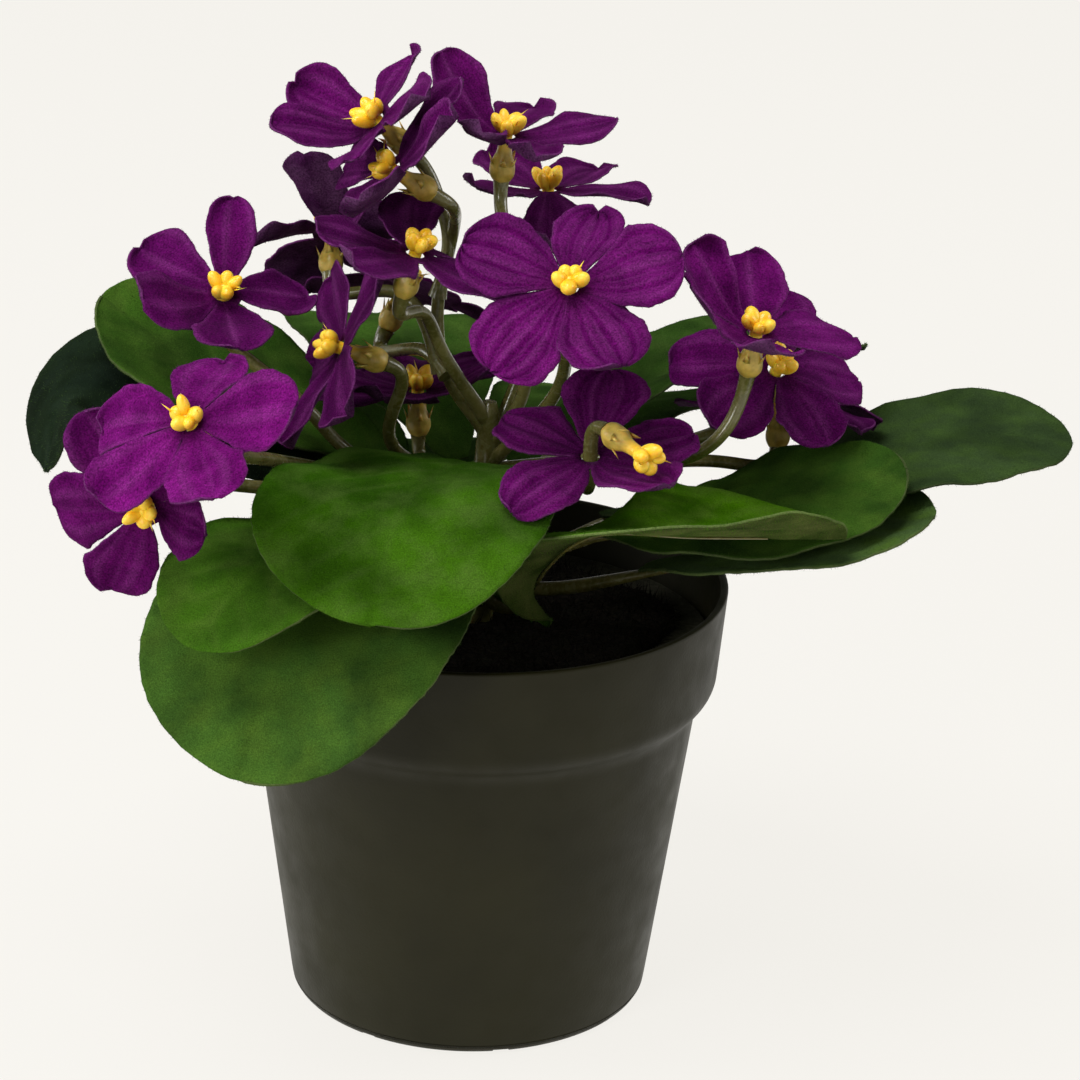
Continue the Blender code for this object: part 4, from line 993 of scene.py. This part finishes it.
def heart_body(centre, az, el, rng):
    """Calyx bulb and neck turned about the bloom's axis, and threads of flash at its top."""
    centre = np.array(centre, float)
    axis, up, right = bloom_frame(az, el)
    outline = smooth_path([(r, z, 0) for r, z in CALYX], np.linspace(0, 1, CALYX_POINTS))
    points, faces, ripe = [centre + axis * outline[0][1]], [], [0.0]
    for r, z, _ in outline[1:-1]:
        for k in range(CALYX_SIDES):
            a = 2 * pi * k / CALYX_SIDES
            rib = 1 + 0.05 * cos(5 * a) * (z < -3.5)
            points.append(centre + axis * z + max(r, 0.05) * rib * (cos(a) * up + sin(a) * right))
            ripe.append(min(1.0, max(0.0, (z + 3.0) / 3)))
    points.append(centre + axis * outline[-1][1])
    ripe.append(1.0)
    rows = len(outline) - 2
    for k in range(CALYX_SIDES):
        m = (k + 1) % CALYX_SIDES
        faces.append((0, 1 + k, 1 + m))
        for j in range(rows - 1):
            a = 1 + j * CALYX_SIDES
            b = a + CALYX_SIDES
            faces.append((a + k, b + k, b + m, a + m))
        top = 1 + (rows - 1) * CALYX_SIDES
        faces.append((top + k, len(points) - 1, top + m))
    for k in range(SEPALS):
        a = 2 * pi * k / SEPALS + rng.uniform(-0.2, 0.2)
        out, along = cos(a) * up + sin(a) * right, cos(a) * right - sin(a) * up
        foot = centre + SEPAL_FOOT[0] * axis + SEPAL_FOOT[1] * out
        tip = centre - rng.uniform(*SEPAL_TIP) * axis + SEPAL_TIP_OUT * out
        spike((points, faces, ripe), foot, tip, 0.75 * along, 0.25 * out, 0.0)
    for _ in range(FLASH_THREADS):
        a = rng.uniform(0, 2 * pi)
        out, along = cos(a) * up + sin(a) * right, cos(a) * right - sin(a) * up
        foot = centre + FLASH_FOOT[0] * axis + FLASH_FOOT[1] * out
        tip = centre + rng.uniform(*FLASH_TIP) * axis + rng.uniform(*FLASH_TIP_OUT) * out
        spike((points, faces, ripe), foot, tip + rng.uniform(-1, 1) * along, 0.22 * along, 0.18 * axis, 1.0)
    return points, faces, ripe


for number, (name, spec) in enumerate(BLOOMS.items()):
    rng = np.random.default_rng(HEART_SEED + number)
    place = SLIPPED_HEART.get(name, spec[:3])
    points, faces, ripe = heart_body(*place, rng)
    body = plain_mesh(name + "_calyx", points, [], faces)
    stamp(body, "ripe", ripe)
    body.materials.append(heart_plastic)
    body.shade_smooth()
    axis, up, right = bloom_frame(*place[1:])
    centre = np.array(place[0], float)
    spots, facings = [], []
    first = rng.uniform(0, 90)
    for k in range(ANTHERS):
        a = radians(first + 360 / ANTHERS * k + rng.uniform(-14, 14))
        out = cos(a) * up + sin(a) * right
        lean = radians(ANTHER_TILT + rng.uniform(-8, 8))
        high = ANTHER_Z + rng.uniform(-0.5, 0.5)
        spots.append(centre + axis * high + out * ANTHER_OUT * rng.uniform(0.75, 1.1))
        facings.append(axis * cos(lean) + out * sin(lean))
    seeds = plain_mesh(name + "_anther_spots", spots)
    facing = seeds.attributes.new("facing", "FLOAT_VECTOR", "POINT").data
    facing.foreach_set("vector", np.array(facings).ravel())
    heart = placed(name + "_calyx", body)
    settle(heart, "heart", name + "_heart")
    anthers = grow(name + "_anthers", seeds, anther_tree, seed=number, material=heart_plastic)
    settle(anthers, "heart")
